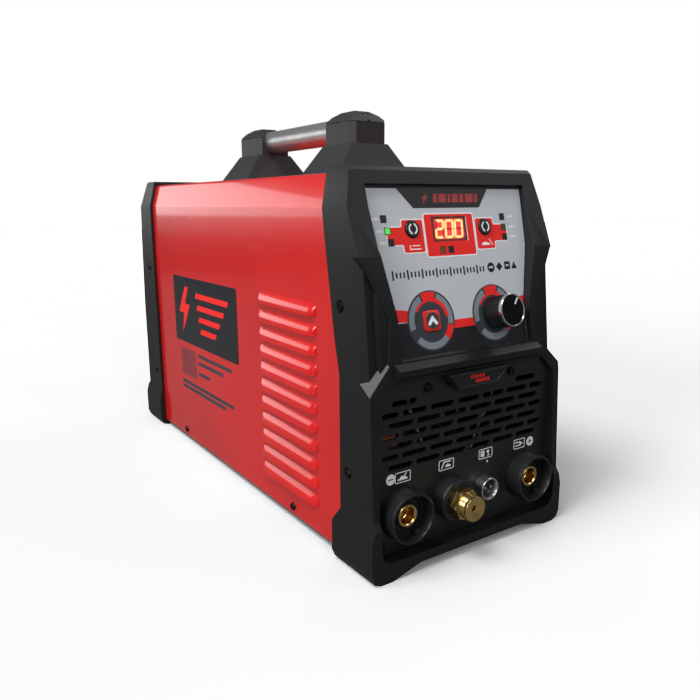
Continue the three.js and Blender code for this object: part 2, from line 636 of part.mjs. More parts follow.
// ---------- Name plate ----------
{
  const plate = (inset) => [
    [PLATE_U - PLATE_LOW_HALF + inset, PLATE_LOW_Z + inset],
    [PLATE_U + PLATE_LOW_HALF - inset, PLATE_LOW_Z + inset],
    [PLATE_U + PLATE_TOP_HALF - inset * 1.4, LEDGE_UNDER_Z - GAP - inset],
    [PLATE_U - PLATE_TOP_HALF + inset * 1.4, LEDGE_UNDER_Z - GAP - inset],
  ];
  add('front_badge', alongY(plate(0), PLATE_FRONT, SOCKET_PANEL_Y - GAP)
    .subtract(alongY(plate(1.4), PLATE_FRONT - 1, PLATE_FRONT + 0.8)), blackPlastic);
}

// ---------- Weld sockets, torch and trigger connectors ----------
{
  for (const [name, x] of [['negative', -SOCKET_X], ['positive', SOCKET_X]]) {
    const front = SOCKET_PANEL_Y - GAP;
    const collar = rodY(COLLAR_RADIUS, COLLAR_FRONT, front, x, SOCKET_Z, 32)
      .add(rodY(11, front - 1, FRONT_WALL, x, SOCKET_Z, 24));
    add(`${name}_socket_collar`, cut(collar, [
      rodY(COLLAR_RADIUS - COLLAR_WALL, COLLAR_FRONT - 1, COLLAR_FLOOR, x, SOCKET_Z, 32),
      rodY(INSERT_RADIUS + GAP, COLLAR_FLOOR - 1, FRONT_WALL + 1, x, SOCKET_Z, 32),
    ]), panelPlastic);
    add(`${name}_socket_insert`, cut(
      rodY(INSERT_RADIUS, INSERT_FRONT, INSERT_REAR, x, SOCKET_Z, 32), [
        rodY(INSERT_BORE, INSERT_FRONT - 1, INSERT_FRONT + INSERT_DEPTH, x, SOCKET_Z, 28),
        box(x - 1.5, x + 1.5, INSERT_FRONT - 1, INSERT_FRONT + 5,
          SOCKET_Z + INSERT_BORE - 1, SOCKET_Z + INSERT_BORE + 0.9),
      ]), brass);
    const BAR_HALF = 8;
    const BAR = 3;
    const barFront = INSERT_REAR + GAP;
    const barTop = x < 0 ? SLOT_TOP_Z - 20 : SOCKET_Z + 24;
    add(`${name}_busbar`, alongX([
      [barFront, SOCKET_Z - 13], [barFront + BAR, SOCKET_Z - 13], [barFront + BAR, barTop - BAR],
      [barFront + 36, barTop - BAR], [barFront + 36, barTop], [barFront, barTop],
    ], x - BAR_HALF, x + BAR_HALF), copper);
  }

  const panelFront = SOCKET_PANEL_Y - GAP;
  const rimFront = TORCH_FLANGE_FRONT;
  add('torch_flange', rodY(TORCH_FLANGE, rimFront + 1.6, panelFront, TORCH_X, TORCH_Z, 40)
    .add(rodY(TORCH_FLANGE, rimFront, rimFront + 1.6, TORCH_X, TORCH_Z, 40, TORCH_FLANGE - 1.6))
    .subtract(rodY(TORCH_RADIUS + GAP, rimFront - 1, panelFront + 1, TORCH_X, TORCH_Z, 32)),
  panelPlastic);
  const nutCorner = TORCH_NUT_FLATS / 2 / Math.cos(Math.PI / 6);
  add('torch_nut', rodY(nutCorner, TORCH_NUT_FRONT, rimFront - GAP, TORCH_X, TORCH_Z, 6)
    .intersect(rodY(nutCorner + 0.6, TORCH_NUT_FRONT, rimFront - GAP, TORCH_X, TORCH_Z, 32,
      nutCorner - 1.2))
    .subtract(rodY(TORCH_RADIUS + GAP, TORCH_NUT_FRONT - 1, panelFront, TORCH_X, TORCH_Z, 32)),
  brass);
  add('torch_connector', cut(
    rodY(TORCH_RADIUS, TORCH_TIP + 0.5, INSERT_REAR, TORCH_X, TORCH_Z, 32)
      .add(rodY(TORCH_RADIUS, TORCH_TIP, TORCH_TIP + 0.5, TORCH_X, TORCH_Z, 32, TORCH_RADIUS - 0.5)), [
      rodY(TORCH_BORE, TORCH_TIP - 1, TORCH_TIP + 25, TORCH_X, TORCH_Z, 16),
      rodY(TORCH_BORE, TORCH_TIP - 0.01, TORCH_TIP + TORCH_DISH_DEPTH, TORCH_X, TORCH_Z, 24,
        TORCH_DISH_RADIUS),
    ]), brass);

  add('trigger_socket_shell', rodY(TRIGGER_RADIUS, TRIGGER_FRONT, panelFront, TRIGGER_X, TRIGGER_Z, 36)
    .add(rodY(TRIGGER_RADIUS - 1, panelFront - 1, 18, TRIGGER_X, TRIGGER_Z, 32))
    .subtract(rodY(TRIGGER_INNER, TRIGGER_FRONT - 1, 19, TRIGGER_X, TRIGGER_Z, 32)), nickel);
  const pins = [-PIN_SPREAD, PIN_SPREAD].map((offset) =>
    rodY(1, TRIGGER_FRONT + 1.5, 6, TRIGGER_X + offset, TRIGGER_Z + PIN_RISE, 10));
  add('trigger_socket_insert', union([
    rodY(TRIGGER_INNER - GAP, TRIGGER_FRONT + 4, 16, TRIGGER_X, TRIGGER_Z, 32), ...pins,
  ]), panelPlastic);
}

// ---------- Handle ----------
{
  const seat = CASE_TOP + GAP;
  const middle = (POST_FRONT_Y + POST_REAR_Y) / 2;
  const tubeFront = POST_FRONT_Y - POST_HALF_Y + 6;
  const tubeRear = POST_REAR_Y + POST_HALF_Y - 6;
  add('handle_tube', rodY(TUBE_RADIUS, tubeFront, tubeRear, 0, TUBE_Z, 32)
    .subtract(rodY(TUBE_RADIUS - TUBE_WALL, tubeFront - 1, tubeRear + 1, 0, TUBE_Z, 32)),
  tubeAluminium);
  for (const [name, centre] of [['front', POST_FRONT_Y], ['rear', POST_REAR_Y]]) {
    const chamfer = 4;
    const plan = alongZ([
      [POST_BASE_X, centre - POST_BASE_Y], [POST_BASE_X, centre + POST_BASE_Y],
      [-POST_BASE_X, centre + POST_BASE_Y], [-POST_BASE_X, centre - POST_BASE_Y],
    ], seat, POST_CREASE_Z).add(alongZ([
      [POST_HALF_X, centre - POST_HALF_Y + chamfer], [POST_HALF_X, centre + POST_HALF_Y - chamfer],
      [POST_HALF_X - chamfer, centre + POST_HALF_Y], [-POST_HALF_X + chamfer, centre + POST_HALF_Y],
      [-POST_HALF_X, centre + POST_HALF_Y - chamfer], [-POST_HALF_X, centre - POST_HALF_Y + chamfer],
      [-POST_HALF_X + chamfer, centre - POST_HALF_Y], [POST_HALF_X - chamfer, centre - POST_HALF_Y],
    ], POST_CREASE_Z - 0.01, CAP_TOP_Z));
    const front = both([
      [POST_BASE_X, seat], [POST_BASE_X, seat + 1.5], [POST_HALF_X, POST_CREASE_Z],
      [POST_HALF_X, POST_SEAM_Z], [POST_HALF_X * 0.72, POST_SEAM_Z + 5.2],
      [POST_HALF_X * 0.4, CAP_TOP_Z],
    ]);
    const side = [
      [-POST_BASE_Y, seat], [-POST_BASE_Y, seat + 1.5], [-POST_HALF_Y, POST_CREASE_Z],
      [-POST_HALF_Y, POST_SEAM_Z], [-POST_HALF_Y * 0.72, POST_SEAM_Z + 5.2],
      [-POST_HALF_Y * 0.45, CAP_TOP_Z], [POST_HALF_Y * 0.45, CAP_TOP_Z],
      [POST_HALF_Y * 0.72, POST_SEAM_Z + 5.2], [POST_HALF_Y, POST_SEAM_Z],
      [POST_HALF_Y, POST_CREASE_Z], [POST_BASE_Y, seat + 1.5], [POST_BASE_Y, seat],
    ].map(([y, z]) => [y + centre, z]);
    const whole = plan.intersect(alongY(front, centre - POST_BASE_Y - 1, centre + POST_BASE_Y + 1))
      .intersect(alongX(side, -POST_BASE_X - 1, POST_BASE_X + 1));
    // The tube enters from the side that faces the other post
    const inward = Math.sign(middle - centre);
    const blind = centre - inward * (POST_HALF_Y - 6 + GAP);
    const mouth = centre + inward * 60;
    const bore = rodY(TUBE_RADIUS + GAP, Math.min(blind, mouth), Math.max(blind, mouth), 0, TUBE_Z, 32);
    const wide = 60;
    const pocket = box(-11, 11, centre - 14, centre + 14, seat - 1, POST_CREASE_Z - 4);
    const below = box(-wide, wide, centre - wide, centre + wide, seat - 5, POST_SEAM_Z);
    const above = box(-wide, wide, centre - wide, centre + wide, POST_SEAM_Z + GAP, CAP_TOP_Z + 5);
    add(`handle_${name}_post`, cut(whole.intersect(below), [bore, pocket]), blackPlastic);
    const notch = (x) => box(x - 1.6, x + 1.6, centre - inward * POST_HALF_Y - 2,
      centre - inward * POST_HALF_Y + 2, POST_SEAM_Z - 1, POST_SEAM_Z + 2.4);
    const notchSide = (x) => box(x - 2, x + 2, centre - 1.6, centre + 1.6, POST_SEAM_Z - 1,
      POST_SEAM_Z + 2.4);
    add(`handle_${name}_cap`, cut(whole.intersect(above), [
      bore, notch(0), notchSide(POST_HALF_X), notchSide(-POST_HALF_X),
      rodZ(3.4, CAP_TOP_Z - 1.6, CAP_TOP_Z + 1, 0, centre - inward * 1, 16),
    ]), blackPlastic);
  }
}

// ---------- Rear frame and rear panel ----------
const rearBack = PANEL_REAR_Y + PANEL_REAR_THICK;
{
  const side = alongX([
    [REAR_FRONT, 0], [REAR_FRONT, FRAME_HEIGHT], [REAR_TOP - EDGE, FRAME_HEIGHT],
    [REAR_TOP, FRAME_HEIGHT - EDGE], [REAR_SHOULDER, SHOULDER_Z], [REAR_WAIST, REAR_WAIST_Z],
    [REAR_LOW, FOOT_TOP + EDGE], [REAR_FOOT, FOOT_TOP - EDGE], [REAR_FOOT, 0],
  ], -footHalf - 1, footHalf + 1);
  const shell = alongY(frameOutline, REAR_FRONT - 1, REAR_FOOT + 1).intersect(side);
  const cavity = alongY(cavityOutline, REAR_FRONT - 5, REAR_LEDGE);
  const rearOpening = (shrink) => both([
    [REAR_OPEN_HALF - shrink, REAR_OPEN_LOW + shrink],
    [REAR_OPEN_HALF - shrink, SHOULDER_Z - 8],
    [REAR_OPEN_HALF - SHOULDER_IN - shrink, REAR_OPEN_HIGH - shrink],
  ]);
  add('rear_bezel', cut(shell, [
    cavity, alongY(rearOpening(0), REAR_LEDGE - 1, REAR_FOOT + 5),
    ...Object.values(SIDE_SCREWS_REAR).map(({ y, z }) => sideScrewHole(y, z)),
  ]), blackPlastic);

  add('rear_panel', cut(alongY(rearOpening(GAP), PANEL_REAR_Y, rearBack), [
    rodY(FAN_BORE, PANEL_REAR_Y - 1, rearBack + 1, 0, FAN_Z, 48),
    box(SWITCH_X - 11 - GAP, SWITCH_X + 11 + GAP, PANEL_REAR_Y - 1, rearBack + 1,
      SWITCH_Z - 14 - GAP, SWITCH_Z + 14 + GAP),
    rodY(9 + GAP, PANEL_REAR_Y - 1, rearBack + 1, FITTING_X, FITTING_Z, 24),
    rodY(6 + GAP, PANEL_REAR_Y - 1, rearBack + 1, -FITTING_X, FITTING_Z, 24),
    rodY(3 + GAP, PANEL_REAR_Y - 1, rearBack + 1, 0, STUD_Z, 16),
  ]), greySteel);
}

// ---------- Fan ----------
{
  const back = PANEL_REAR_Y - GAP;
  const front = back - FAN_DEPTH;
  const half = FAN_SIZE / 2;
  const spokes = [];
  for (let index = 0; index < 4; index += 1) {
    const spoke = new THREE.BoxGeometry(6, 2.5, FAN_BORE);
    spoke.translate(0, front + 1.25, FAN_BORE / 2 + 4);
    spoke.rotateY(index * Math.PI / 2 + Math.PI / 4);
    spoke.translate(0, 0, FAN_Z);
    spokes.push(solid(spoke));
  }
  const motor = rodY(FAN_HUB, front, front + 4, 0, FAN_Z, 32);
  const outer = alongY(rounded(half, half, 5, 2, 0, FAN_Z), front, back)
    .subtract(rodY(FAN_BORE, front - 1, back + 1, 0, FAN_Z, 48));
  add('fan_frame', union([outer, motor, ...spokes]), blackPlastic);

  const blades = [];
  for (let index = 0; index < FAN_BLADES; index += 1) {
    const blade = new THREE.BoxGeometry(26, 1.8, FAN_BORE - 2 - FAN_HUB + 4);
    blade.rotateZ(0.55);
    blade.translate(0, front + 14.5, (FAN_BORE - 2 + FAN_HUB - 4) / 2);
    blade.rotateY(index / FAN_BLADES * Math.PI * 2);
    blade.translate(0, 0, FAN_Z);
    blades.push(solid(blade));
  }
  add('fan_rotor', union([rodY(FAN_HUB, front + 4.6, back - 1.4, 0, FAN_Z, 32), ...blades])
    .intersect(rodY(FAN_BORE - 1, front + 4.6, back - 1.4, 0, FAN_Z, 48)), panelPlastic);

  const wire = 1;
  const guard = [];
  const RINGS = 4;
  for (let index = 1; index <= RINGS; index += 1) {
    const radius = FAN_BORE * index / RINGS - 0.5;
    guard.push(rodY(radius + wire, rearBack + GAP + 1.4, rearBack + GAP + 3.2, 0, FAN_Z, 24)
      .subtract(rodY(radius - wire, rearBack, rearBack + 8, 0, FAN_Z, 24)));
  }
  for (let index = 0; index < 4; index += 1) {
    const bar = new THREE.BoxGeometry(2, 1.6, FAN_BORE + 14);
    bar.translate(0, rearBack + GAP + 0.8, (FAN_BORE + 14) / 2);
    bar.rotateY(index * Math.PI / 2 + Math.PI / 4);
    bar.translate(0, 0, FAN_Z);
    guard.push(solid(bar));
  }
  add('fan_guard', union(guard), chrome);
}

// ---------- Rear fittings ----------
{
  const flange = rearBack + GAP;
  const recess = box(SWITCH_X - 8, SWITCH_X + 8, flange - 8, flange + 5, SWITCH_Z - 11.4, SWITCH_Z + 11.4);
  add('power_switch_body', cut(
    box(SWITCH_X - 11, SWITCH_X + 11, flange - 22, flange + 1, SWITCH_Z - 14, SWITCH_Z + 14)
      .add(box(SWITCH_X - 13, SWITCH_X + 13, flange, flange + 1.8, SWITCH_Z - 16, SWITCH_Z + 16)),
    [recess]), blackPlastic);
  const rocker = prism([
    [-4, -3], [-0.5, -10.2], [3.2, -10.2], [1.4, 0], [3.2, 10.2], [-0.5, 10.2], [-4, 3],
  ], 15.2).applyMatrix4(basis(Y, Z, X, [-7.6, 0, 0]));
  rocker.rotateX(ROCKER_TILT);
  rocker.translate(SWITCH_X, flange, SWITCH_Z);
  add('power_switch_rocker', solid(rocker), redPlastic);

  const hex = (radius, from, to, x, z) => rodY(radius, from, to, x, z, 6);
  add('cable_gland', cut(union([
    rodY(9, PANEL_REAR_Y - 10, flange + 1, FITTING_X, FITTING_Z, 24),
    hex(13, flange, flange + 5, FITTING_X, FITTING_Z),
    rodY(10.4, flange + 4, flange + 9, FITTING_X, FITTING_Z, 24),
    rodY(8, flange + 8, flange + 17, FITTING_X, FITTING_Z, 24, 10.4),
  ]), [rodY(5, PANEL_REAR_Y - 11, flange + 20, FITTING_X, FITTING_Z, 20)]), blackPlastic);
  const barbs = [];
  for (let index = 0; index < 3; index += 1) {
    const start = flange + 6 + index * 3.6;
    barbs.push(rodY(3.2, start, start + 3.6, -FITTING_X, FITTING_Z, 12, 4.6));
  }
  add('gas_inlet', cut(union([
    rodY(6, PANEL_REAR_Y - 12, flange + 1, -FITTING_X, FITTING_Z, 24),
    hex(8.6, flange, flange + 4, -FITTING_X, FITTING_Z),
    rodY(3.2, flange + 3, flange + 7, -FITTING_X, FITTING_Z, 12), ...barbs,
  ]), [rodY(1.9, PANEL_REAR_Y - 13, flange + 20, -FITTING_X, FITTING_Z, 12)]), brass);
  add('earth_stud', union([
    rodY(3, PANEL_REAR_Y - 8, flange + 12, 0, STUD_Z, 16),
    hex(5.8, flange, flange + 5, 0, STUD_Z),
  ]), brass);
}

// ---------- Inside ----------
{
  const floor = BASE_Z + SHEET + GAP;
  const SINK_TOP = 70;
  const SINK_HALF = 45;
  const heatSink = (from, to) => {
    const fins = [];
    const count = 9;
    for (let index = 0; index < count; index += 1) {
      const x = -SINK_HALF + 1.5 + index * (SINK_HALF * 2 - 3) / (count - 1);
      fins.push(box(x - 1.5, x + 1.5, from, to, floor, SINK_TOP - 7));
    }
    return union([box(-SINK_HALF, SINK_HALF, from, to, SINK_TOP - 8, SINK_TOP), ...fins]);
  };
  add('rectifier_heat_sink', heatSink(72, 172), sinkAluminium);
  add('igbt_heat_sink', heatSink(190, 330), sinkAluminium);
  const boardLow = SINK_TOP + GAP;
  const boardTop = boardLow + BOARD_THICK;
  add('main_board', box(-68, 68, 62, 342, boardLow, boardTop), boardGreen);
  const onBoard = boardTop + GAP;
  const core = box(-30, 30, 196, 246, onBoard, onBoard + 46)
    .subtract(box(-20, 20, 190, 250, onBoard + 9, onBoard + 37));
  const winding = rodZ(17, onBoard + 5, onBoard + 41, 0, 221, 24);
  add('main_transformer', core.add(winding), coreFerrite);
  const choke = new THREE.TorusGeometry(19, 9, 8, 18);
  choke.translate(-32, 112, onBoard + 9);
  add('output_choke', solid(choke), copper);
  for (const [index, y] of [280, 316].entries()) {
    add(`capacitor_${index + 1}`, rodZ(15, onBoard, onBoard + 44, 40, y, 24)
      .add(rodZ(15, onBoard + 43.9, onBoard + 45, 40, y, 24, 13.5)), sleeveBlue);
  }
  add('gas_valve', box(-73, -49, 300, 342, floor, floor + 22)
    .add(rodZ(10, floor + 21, floor + 46, -61, 321, 20)), brass);
}

// ---------- Screws ----------
for (const [where, points] of [['front', SIDE_SCREWS_FRONT], ['rear', SIDE_SCREWS_REAR]]) {
  for (const [level, { y, z }] of Object.entries(points)) {
    add(`${where}_screw_left_${level}`, sideScrew(-1, y, z), blackZinc);
    add(`${where}_screw_right_${level}`, sideScrew(1, y, z), blackZinc);
  }
}
for (const [level, { x, z }] of Object.entries(FACE_SCREWS)) {
  add(`panel_screw_${level}`, faceScrew(x, z), blackZinc);
}

export default machine;
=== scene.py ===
"""Looks of a portable inverter TIG welder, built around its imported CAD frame."""

from __future__ import annotations

import logging
import math
from dataclasses import dataclass
from enum import Enum
from typing import Any, Callable, Iterable, Sequence

import bmesh  # noqa: E402
import bpy  # noqa: E402
from mathutils import Matrix, Vector  # noqa: E402
from mathutils.geometry import tessellate_polygon  # noqa: E402


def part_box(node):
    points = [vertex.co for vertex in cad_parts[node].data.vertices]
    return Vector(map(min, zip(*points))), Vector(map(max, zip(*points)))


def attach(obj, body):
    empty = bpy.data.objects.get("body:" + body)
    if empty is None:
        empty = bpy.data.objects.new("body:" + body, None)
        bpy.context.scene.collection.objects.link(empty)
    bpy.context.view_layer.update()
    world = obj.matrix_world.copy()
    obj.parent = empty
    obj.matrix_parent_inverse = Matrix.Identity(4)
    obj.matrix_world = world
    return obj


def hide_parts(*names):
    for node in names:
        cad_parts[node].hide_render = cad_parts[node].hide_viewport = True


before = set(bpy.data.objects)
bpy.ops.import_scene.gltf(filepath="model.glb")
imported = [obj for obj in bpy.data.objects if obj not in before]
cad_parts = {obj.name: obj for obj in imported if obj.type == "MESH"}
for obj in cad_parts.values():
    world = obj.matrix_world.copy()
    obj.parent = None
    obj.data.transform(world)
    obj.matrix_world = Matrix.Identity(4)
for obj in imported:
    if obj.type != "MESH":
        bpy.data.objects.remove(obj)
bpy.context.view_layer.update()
LOG = logging.getLogger("tig_welder")

MM = 0.001
HOUSING = "housing"
FACE_PROUD = 2.0  # the front frame's foot stands this far before the depth datum, in millimetres
FACE_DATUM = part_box("front_bezel")[0].y + FACE_PROUD * MM
LEAN = math.radians(13.2)
PANEL_DEPTH = 15.1
PANEL_LEVEL = 156.6
INK_LIFT = 0.005  # gap under a print, in millimetres
HAIR = 1e-6  # a radius below this is on the axis

Point = tuple[float, float]
Outline = list[Point]


# ---------- Working planes: local millimetres (u, v, outwards) to the frame's metres ----------
def plane(u: Sequence[float], v: Sequence[float], origin: Sequence[float] = (0, 0, 0)) -> Matrix:
    """Make a working plane of the machine.

    Args:
        u: direction of the plane's first axis.
        v: direction of its second axis.
        origin: its zero point, in millimetres from the front foot line.

    Returns:
        The matrix from the plane's millimetres to the row frame's metres.
    """
    a, b = Vector(u), Vector(v)
    c = a.cross(b)
    turn = Matrix((a, b, c)).transposed().to_4x4()
    shift = Matrix.Translation(Vector((0, FACE_DATUM, 0)) + Vector(origin) * MM)
    return shift @ turn @ Matrix.Scale(MM, 4)


FRONT = plane((1, 0, 0), (0, 0, 1))
REAR = plane((-1, 0, 0), (0, 0, 1))
RIGHT = plane((0, 1, 0), (0, 0, 1))
LEFT = plane((0, -1, 0), (0, 0, 1))
TOP = plane((1, 0, 0), (0, 1, 0))
PANEL = plane((1, 0, 0), (0, math.sin(LEAN), math.cos(LEAN)), (0, PANEL_DEPTH, PANEL_LEVEL))


# ---------- Outlines ----------
def rectangle(u0: float, u1: float, v0: float, v1: float) -> Outline:
    """Corners of a rectangle."""
    return [(u0, v0), (u1, v0), (u1, v1), (u0, v1)]


def rounded(u: float, v: float, half_u: float, half_v: float, radius: float, steps: int = 4) -> Outline:
    """Corners of a rectangle with round corners.

    Args:
        u: centre along the first axis.
        v: centre along the second axis.
        half_u: half its width.
        half_v: half its height.
        radius: corner radius.
        steps: pieces in each corner.

    Returns:
        The outline, anticlockwise.
    """
    points = []
    for corner in range(4):
        sign_u = 1 if corner in (0, 3) else -1
        sign_v = 1 if corner < 2 else -1
        for step in range(steps + 1):
            angle = (corner + step / steps) * math.pi / 2
            points.append((u + sign_u * (half_u - radius) + radius * math.cos(angle),
                           v + sign_v * (half_v - radius) + radius * math.sin(angle)))
    return points


def circle(u: float, v: float, radius: float, steps: int = 40) -> Outline:
    """Points of a circle."""
    return [(u + radius * math.cos(2 * math.pi * i / steps), v + radius * math.sin(2 * math.pi * i / steps))
            for i in range(steps)]


def band(u: float, v: float, inner: float, outer: float, start: float, end: float) -> Outline:
    """Outline of a piece of a ring.

    Args:
        u: centre along the first axis.
        v: centre along the second axis.
        inner: inner radius.
        outer: outer radius.
        start: where it begins, in degrees anticlockwise from the first axis.
        end: where it ends.

    Returns:
        The outline, anticlockwise.
    """
    steps = max(2, int(abs(end - start) / 8))
    angles = [math.radians(start + (end - start) * i / steps) for i in range(steps + 1)]
    out = [(u + outer * math.cos(a), v + outer * math.sin(a)) for a in angles]
    back = [(u + inner * math.cos(a), v + inner * math.sin(a)) for a in reversed(angles)]
    return out + back


def mirrored(outline: Outline) -> Outline:
    """The outline's mirror image across the machine's middle."""
    return [(-u, v) for u, v in reversed(outline)]


def moved(outline: Outline, u: float, v: float, turn: float = 0.0) -> Outline:
    """The outline turned by some degrees and then moved."""
    c, s = math.cos(math.radians(turn)), math.sin(math.radians(turn))
    return [(u + a * c - b * s, v + a * s + b * c) for a, b in outline]


# ---------- Shader arithmetic ----------
class Val:
    """A shader number that takes part in Python expressions."""

    def __init__(self, shader: "Shader", socket: bpy.types.NodeSocket) -> None:
        """Wrap one output socket of a shader."""
        self.shader = shader
        self.socket = socket

    def _math(self, operation: str, *values: Any) -> "Val":
        """Add one Math node and return its output."""
        node = self.shader.node("ShaderNodeMath", {"operation": operation}, dict(enumerate(values)))
        return Val(self.shader, node.outputs[0])

    def __add__(self, other: Any) -> "Val":
        """Sum."""
        return self._math("ADD", self, other)

    def __radd__(self, other: Any) -> "Val":
        """Sum, number first."""
        return self._math("ADD", other, self)

    def __sub__(self, other: Any) -> "Val":
        """Difference."""
        return self._math("SUBTRACT", self, other)

    def __rsub__(self, other: Any) -> "Val":
        """Difference, number first."""
        return self._math("SUBTRACT", other, self)

    def __mul__(self, other: Any) -> "Val":
        """Product."""
        return self._math("MULTIPLY", self, other)

    def __rmul__(self, other: Any) -> "Val":
        """Product, number first."""
        return self._math("MULTIPLY", other, self)

    def sine(self) -> "Val":
        """Sine of the number."""
        return self._math("SINE", self)

    def sqrt(self) -> "Val":
        """Square root of the number."""
        return self._math("SQRT", self)

    def clamp(self) -> "Val":
        """The number kept between zero and one."""
        node = self.shader.node("ShaderNodeClamp", {}, {"Value": self})
        return Val(self.shader, node.outputs[0])

    def ramp(self, low: float, high: float) -> "Val":
        """Zero at low, one at high, smooth between them."""
        node = self.shader.node("ShaderNodeMapRange", {"interpolation_type": "SMOOTHSTEP"},
                                {"Value": self, "From Min": low, "From Max": high})
        return Val(self.shader, node.outputs[0])


Colour = tuple[float, float, float]


class Shader:
    """One node material with a Principled surface."""

    def __init__(self, name: str) -> None:
        """Start an empty material of this name."""
        self.material = bpy.data.materials.new(name)
        self.material.use_nodes = True
        self.tree = self.material.node_tree
        self.tree.nodes.clear()
        self.surface = self.tree.nodes.new("ShaderNodeBsdfPrincipled")
        output = self.tree.nodes.new("ShaderNodeOutputMaterial")
        self.tree.links.new(self.surface.outputs[0], output.inputs["Surface"])
        self.place = self.node("ShaderNodeTexCoord").outputs["Object"]

    def node(self, kind: str, settings: dict[str, Any] | None = None,
             inputs: dict[Any, Any] | None = None) -> bpy.types.Node:
        """Add a node.

        Args:
            kind: the node's type.
            settings: its own settings, set first; "stops" are a ramp's stops.
            inputs: values or links of its sockets, by name or number.

        Returns:
            The node.
        """
        node = self.tree.nodes.new(kind)
        for key, value in (settings or {}).items():
            setattr(node, key, value)
        for key, value in (inputs or {}).items():
            self.feed(node.inputs[key], value)
        return node

    def feed(self, socket: bpy.types.NodeSocket, value: Any) -> None:
        """Set a socket to a number or colour, or link it."""
        if isinstance(value, Val):
            self.tree.links.new(value.socket, socket)
        elif isinstance(value, bpy.types.NodeSocket):
            self.tree.links.new(value, socket)
        else:
            socket.default_value = value

    def set(self, **inputs: Any) -> "Shader":
        """Set sockets of the surface by name, with _ for a space."""
        for key, value in inputs.items():
            if isinstance(value, tuple) and len(value) == 3:
                value = (*value, 1.0)
            self.feed(self.surface.inputs[key.replace("_", " ")], value)
        return self

    def axis(self, index: int) -> Val:
        """The place's X, Y or Z in metres."""
        node = self.node("ShaderNodeSeparateXYZ", {}, {0: self.place})
        return Val(self, node.outputs[index])

    def stretched(self, scale: Sequence[float]) -> bpy.types.NodeSocket:
        """The place with its axes scaled."""
        node = self.node("ShaderNodeMapping", {}, {"Vector": self.place, "Scale": tuple(scale)})
        return node.outputs[0]

    def noise(self, scale: float, detail: float = 2.0, rough: float = 0.5,
              at: bpy.types.NodeSocket | None = None) -> Val:
        """Smooth noise from zero to one; scale is in cells per metre."""
        node = self.node("ShaderNodeTexNoise", {},
                         {"Vector": at or self.place, "Scale": scale, "Detail": detail, "Roughness": rough})
        return Val(self, node.outputs[0])

    def cells(self, scale: float, feature: str = "F1") -> Val:
        """Distance in a pattern of cells; scale is in cells per metre."""
        node = self.node("ShaderNodeTexVoronoi", {"feature": feature}, {"Vector": self.place, "Scale": scale})
        return Val(self, node.outputs[0])

    def mix(self, first: Any, second: Any, factor: Val) -> bpy.types.NodeSocket:
        """Colour between two colours."""
        node = self.node("ShaderNodeMix", {"data_type": "RGBA"}, {0: factor})
        for socket, value in ((node.inputs[6], first), (node.inputs[7], second)):
            self.feed(socket, (*value, 1.0) if isinstance(value, tuple) and len(value) == 3 else value)
        return node.outputs[2]

    def relief(self, height: Val, depth_mm: float, strength: float = 1.0) -> bpy.types.NodeSocket:
        """Normal of a surface raised by height, which runs from zero to one."""
        node = self.node("ShaderNodeBump", {},
                         {"Strength": strength, "Distance": depth_mm * MM, "Height": height})
        return node.outputs[0]


class Lay(Enum):
    """How a metal's surface was worked."""

    TURNED = "turned"
    BRUSHED = "brushed"
    PLATED = "plated"
    CAST = "cast"


_made: dict[Any, bpy.types.Material] = {}


def dressed(finish: Any) -> bpy.types.Material:
    """The finish's material, made once."""
    if finish not in _made:
        _made[finish] = finish.make()
    return _made[finish]


@dataclass(frozen=True)
class Moulding:
    """Moulded plastic with a fine spark texture and a little dust."""

    name: str
    colour: Colour = (0.0045, 0.0047, 0.0052)
    roughness: float = 0.44
    grain: float = 1500.0
    depth: float = 0.05
    dust: float = 0.08
    shine: float = 0.42

    def make(self) -> bpy.types.Material:
        """Build the material."""
        s = Shader(self.name)
        grain = s.noise(self.grain, 3.0, 0.6)
        soft = s.noise(14.0, 4.0, 0.55)
        low = 1 - s.axis(2).ramp(0.0, 0.06)
        dusty = (soft.ramp(0.45, 0.8) * 0.5 + low * 0.35) * self.dust
        pale = tuple(min(1.0, c * 2.0 + 0.01) for c in self.colour)
        s.set(Base_Color=s.mix(self.colour, pale, (dusty + grain.ramp(0.5, 0.75) * 0.12).clamp()),
              Roughness=(self.roughness + (grain - 0.5) * 0.16 + (soft - 0.5) * 0.14),
              Specular_IOR_Level=self.shine,
              Normal=s.relief(grain, self.depth, 0.55))
        return s.material


@dataclass(frozen=True)
class Enamel:
    """Glossy sprayed enamel on steel sheet."""

    name: str
    colour: Colour = (0.62, 0.008, 0.006)
    roughness: float = 0.24

    def make(self) -> bpy.types.Material:
        """Build the material."""
        s = Shader(self.name)
        peel = s.noise(260.0, 2.0, 0.5)
        wide = s.noise(9.0, 3.0, 0.5)
        scuff = s.noise(60.0, 5.0, 0.7, s.stretched((1.0, 0.15, 5.0))).ramp(0.62, 0.75)
        deep = tuple(c * 0.86 for c in self.colour)
        s.set(Base_Color=s.mix(self.colour, deep, wide.ramp(0.3, 0.7)),
              Roughness=(self.roughness + (peel - 0.5) * 0.08 + scuff * 0.08),
              Coat_Weight=(0.7 - scuff * 0.25).clamp(), Coat_Roughness=0.06,
              Normal=s.relief(peel * 0.25 + wide * 0.75, 0.16, 0.4))
        return s.material


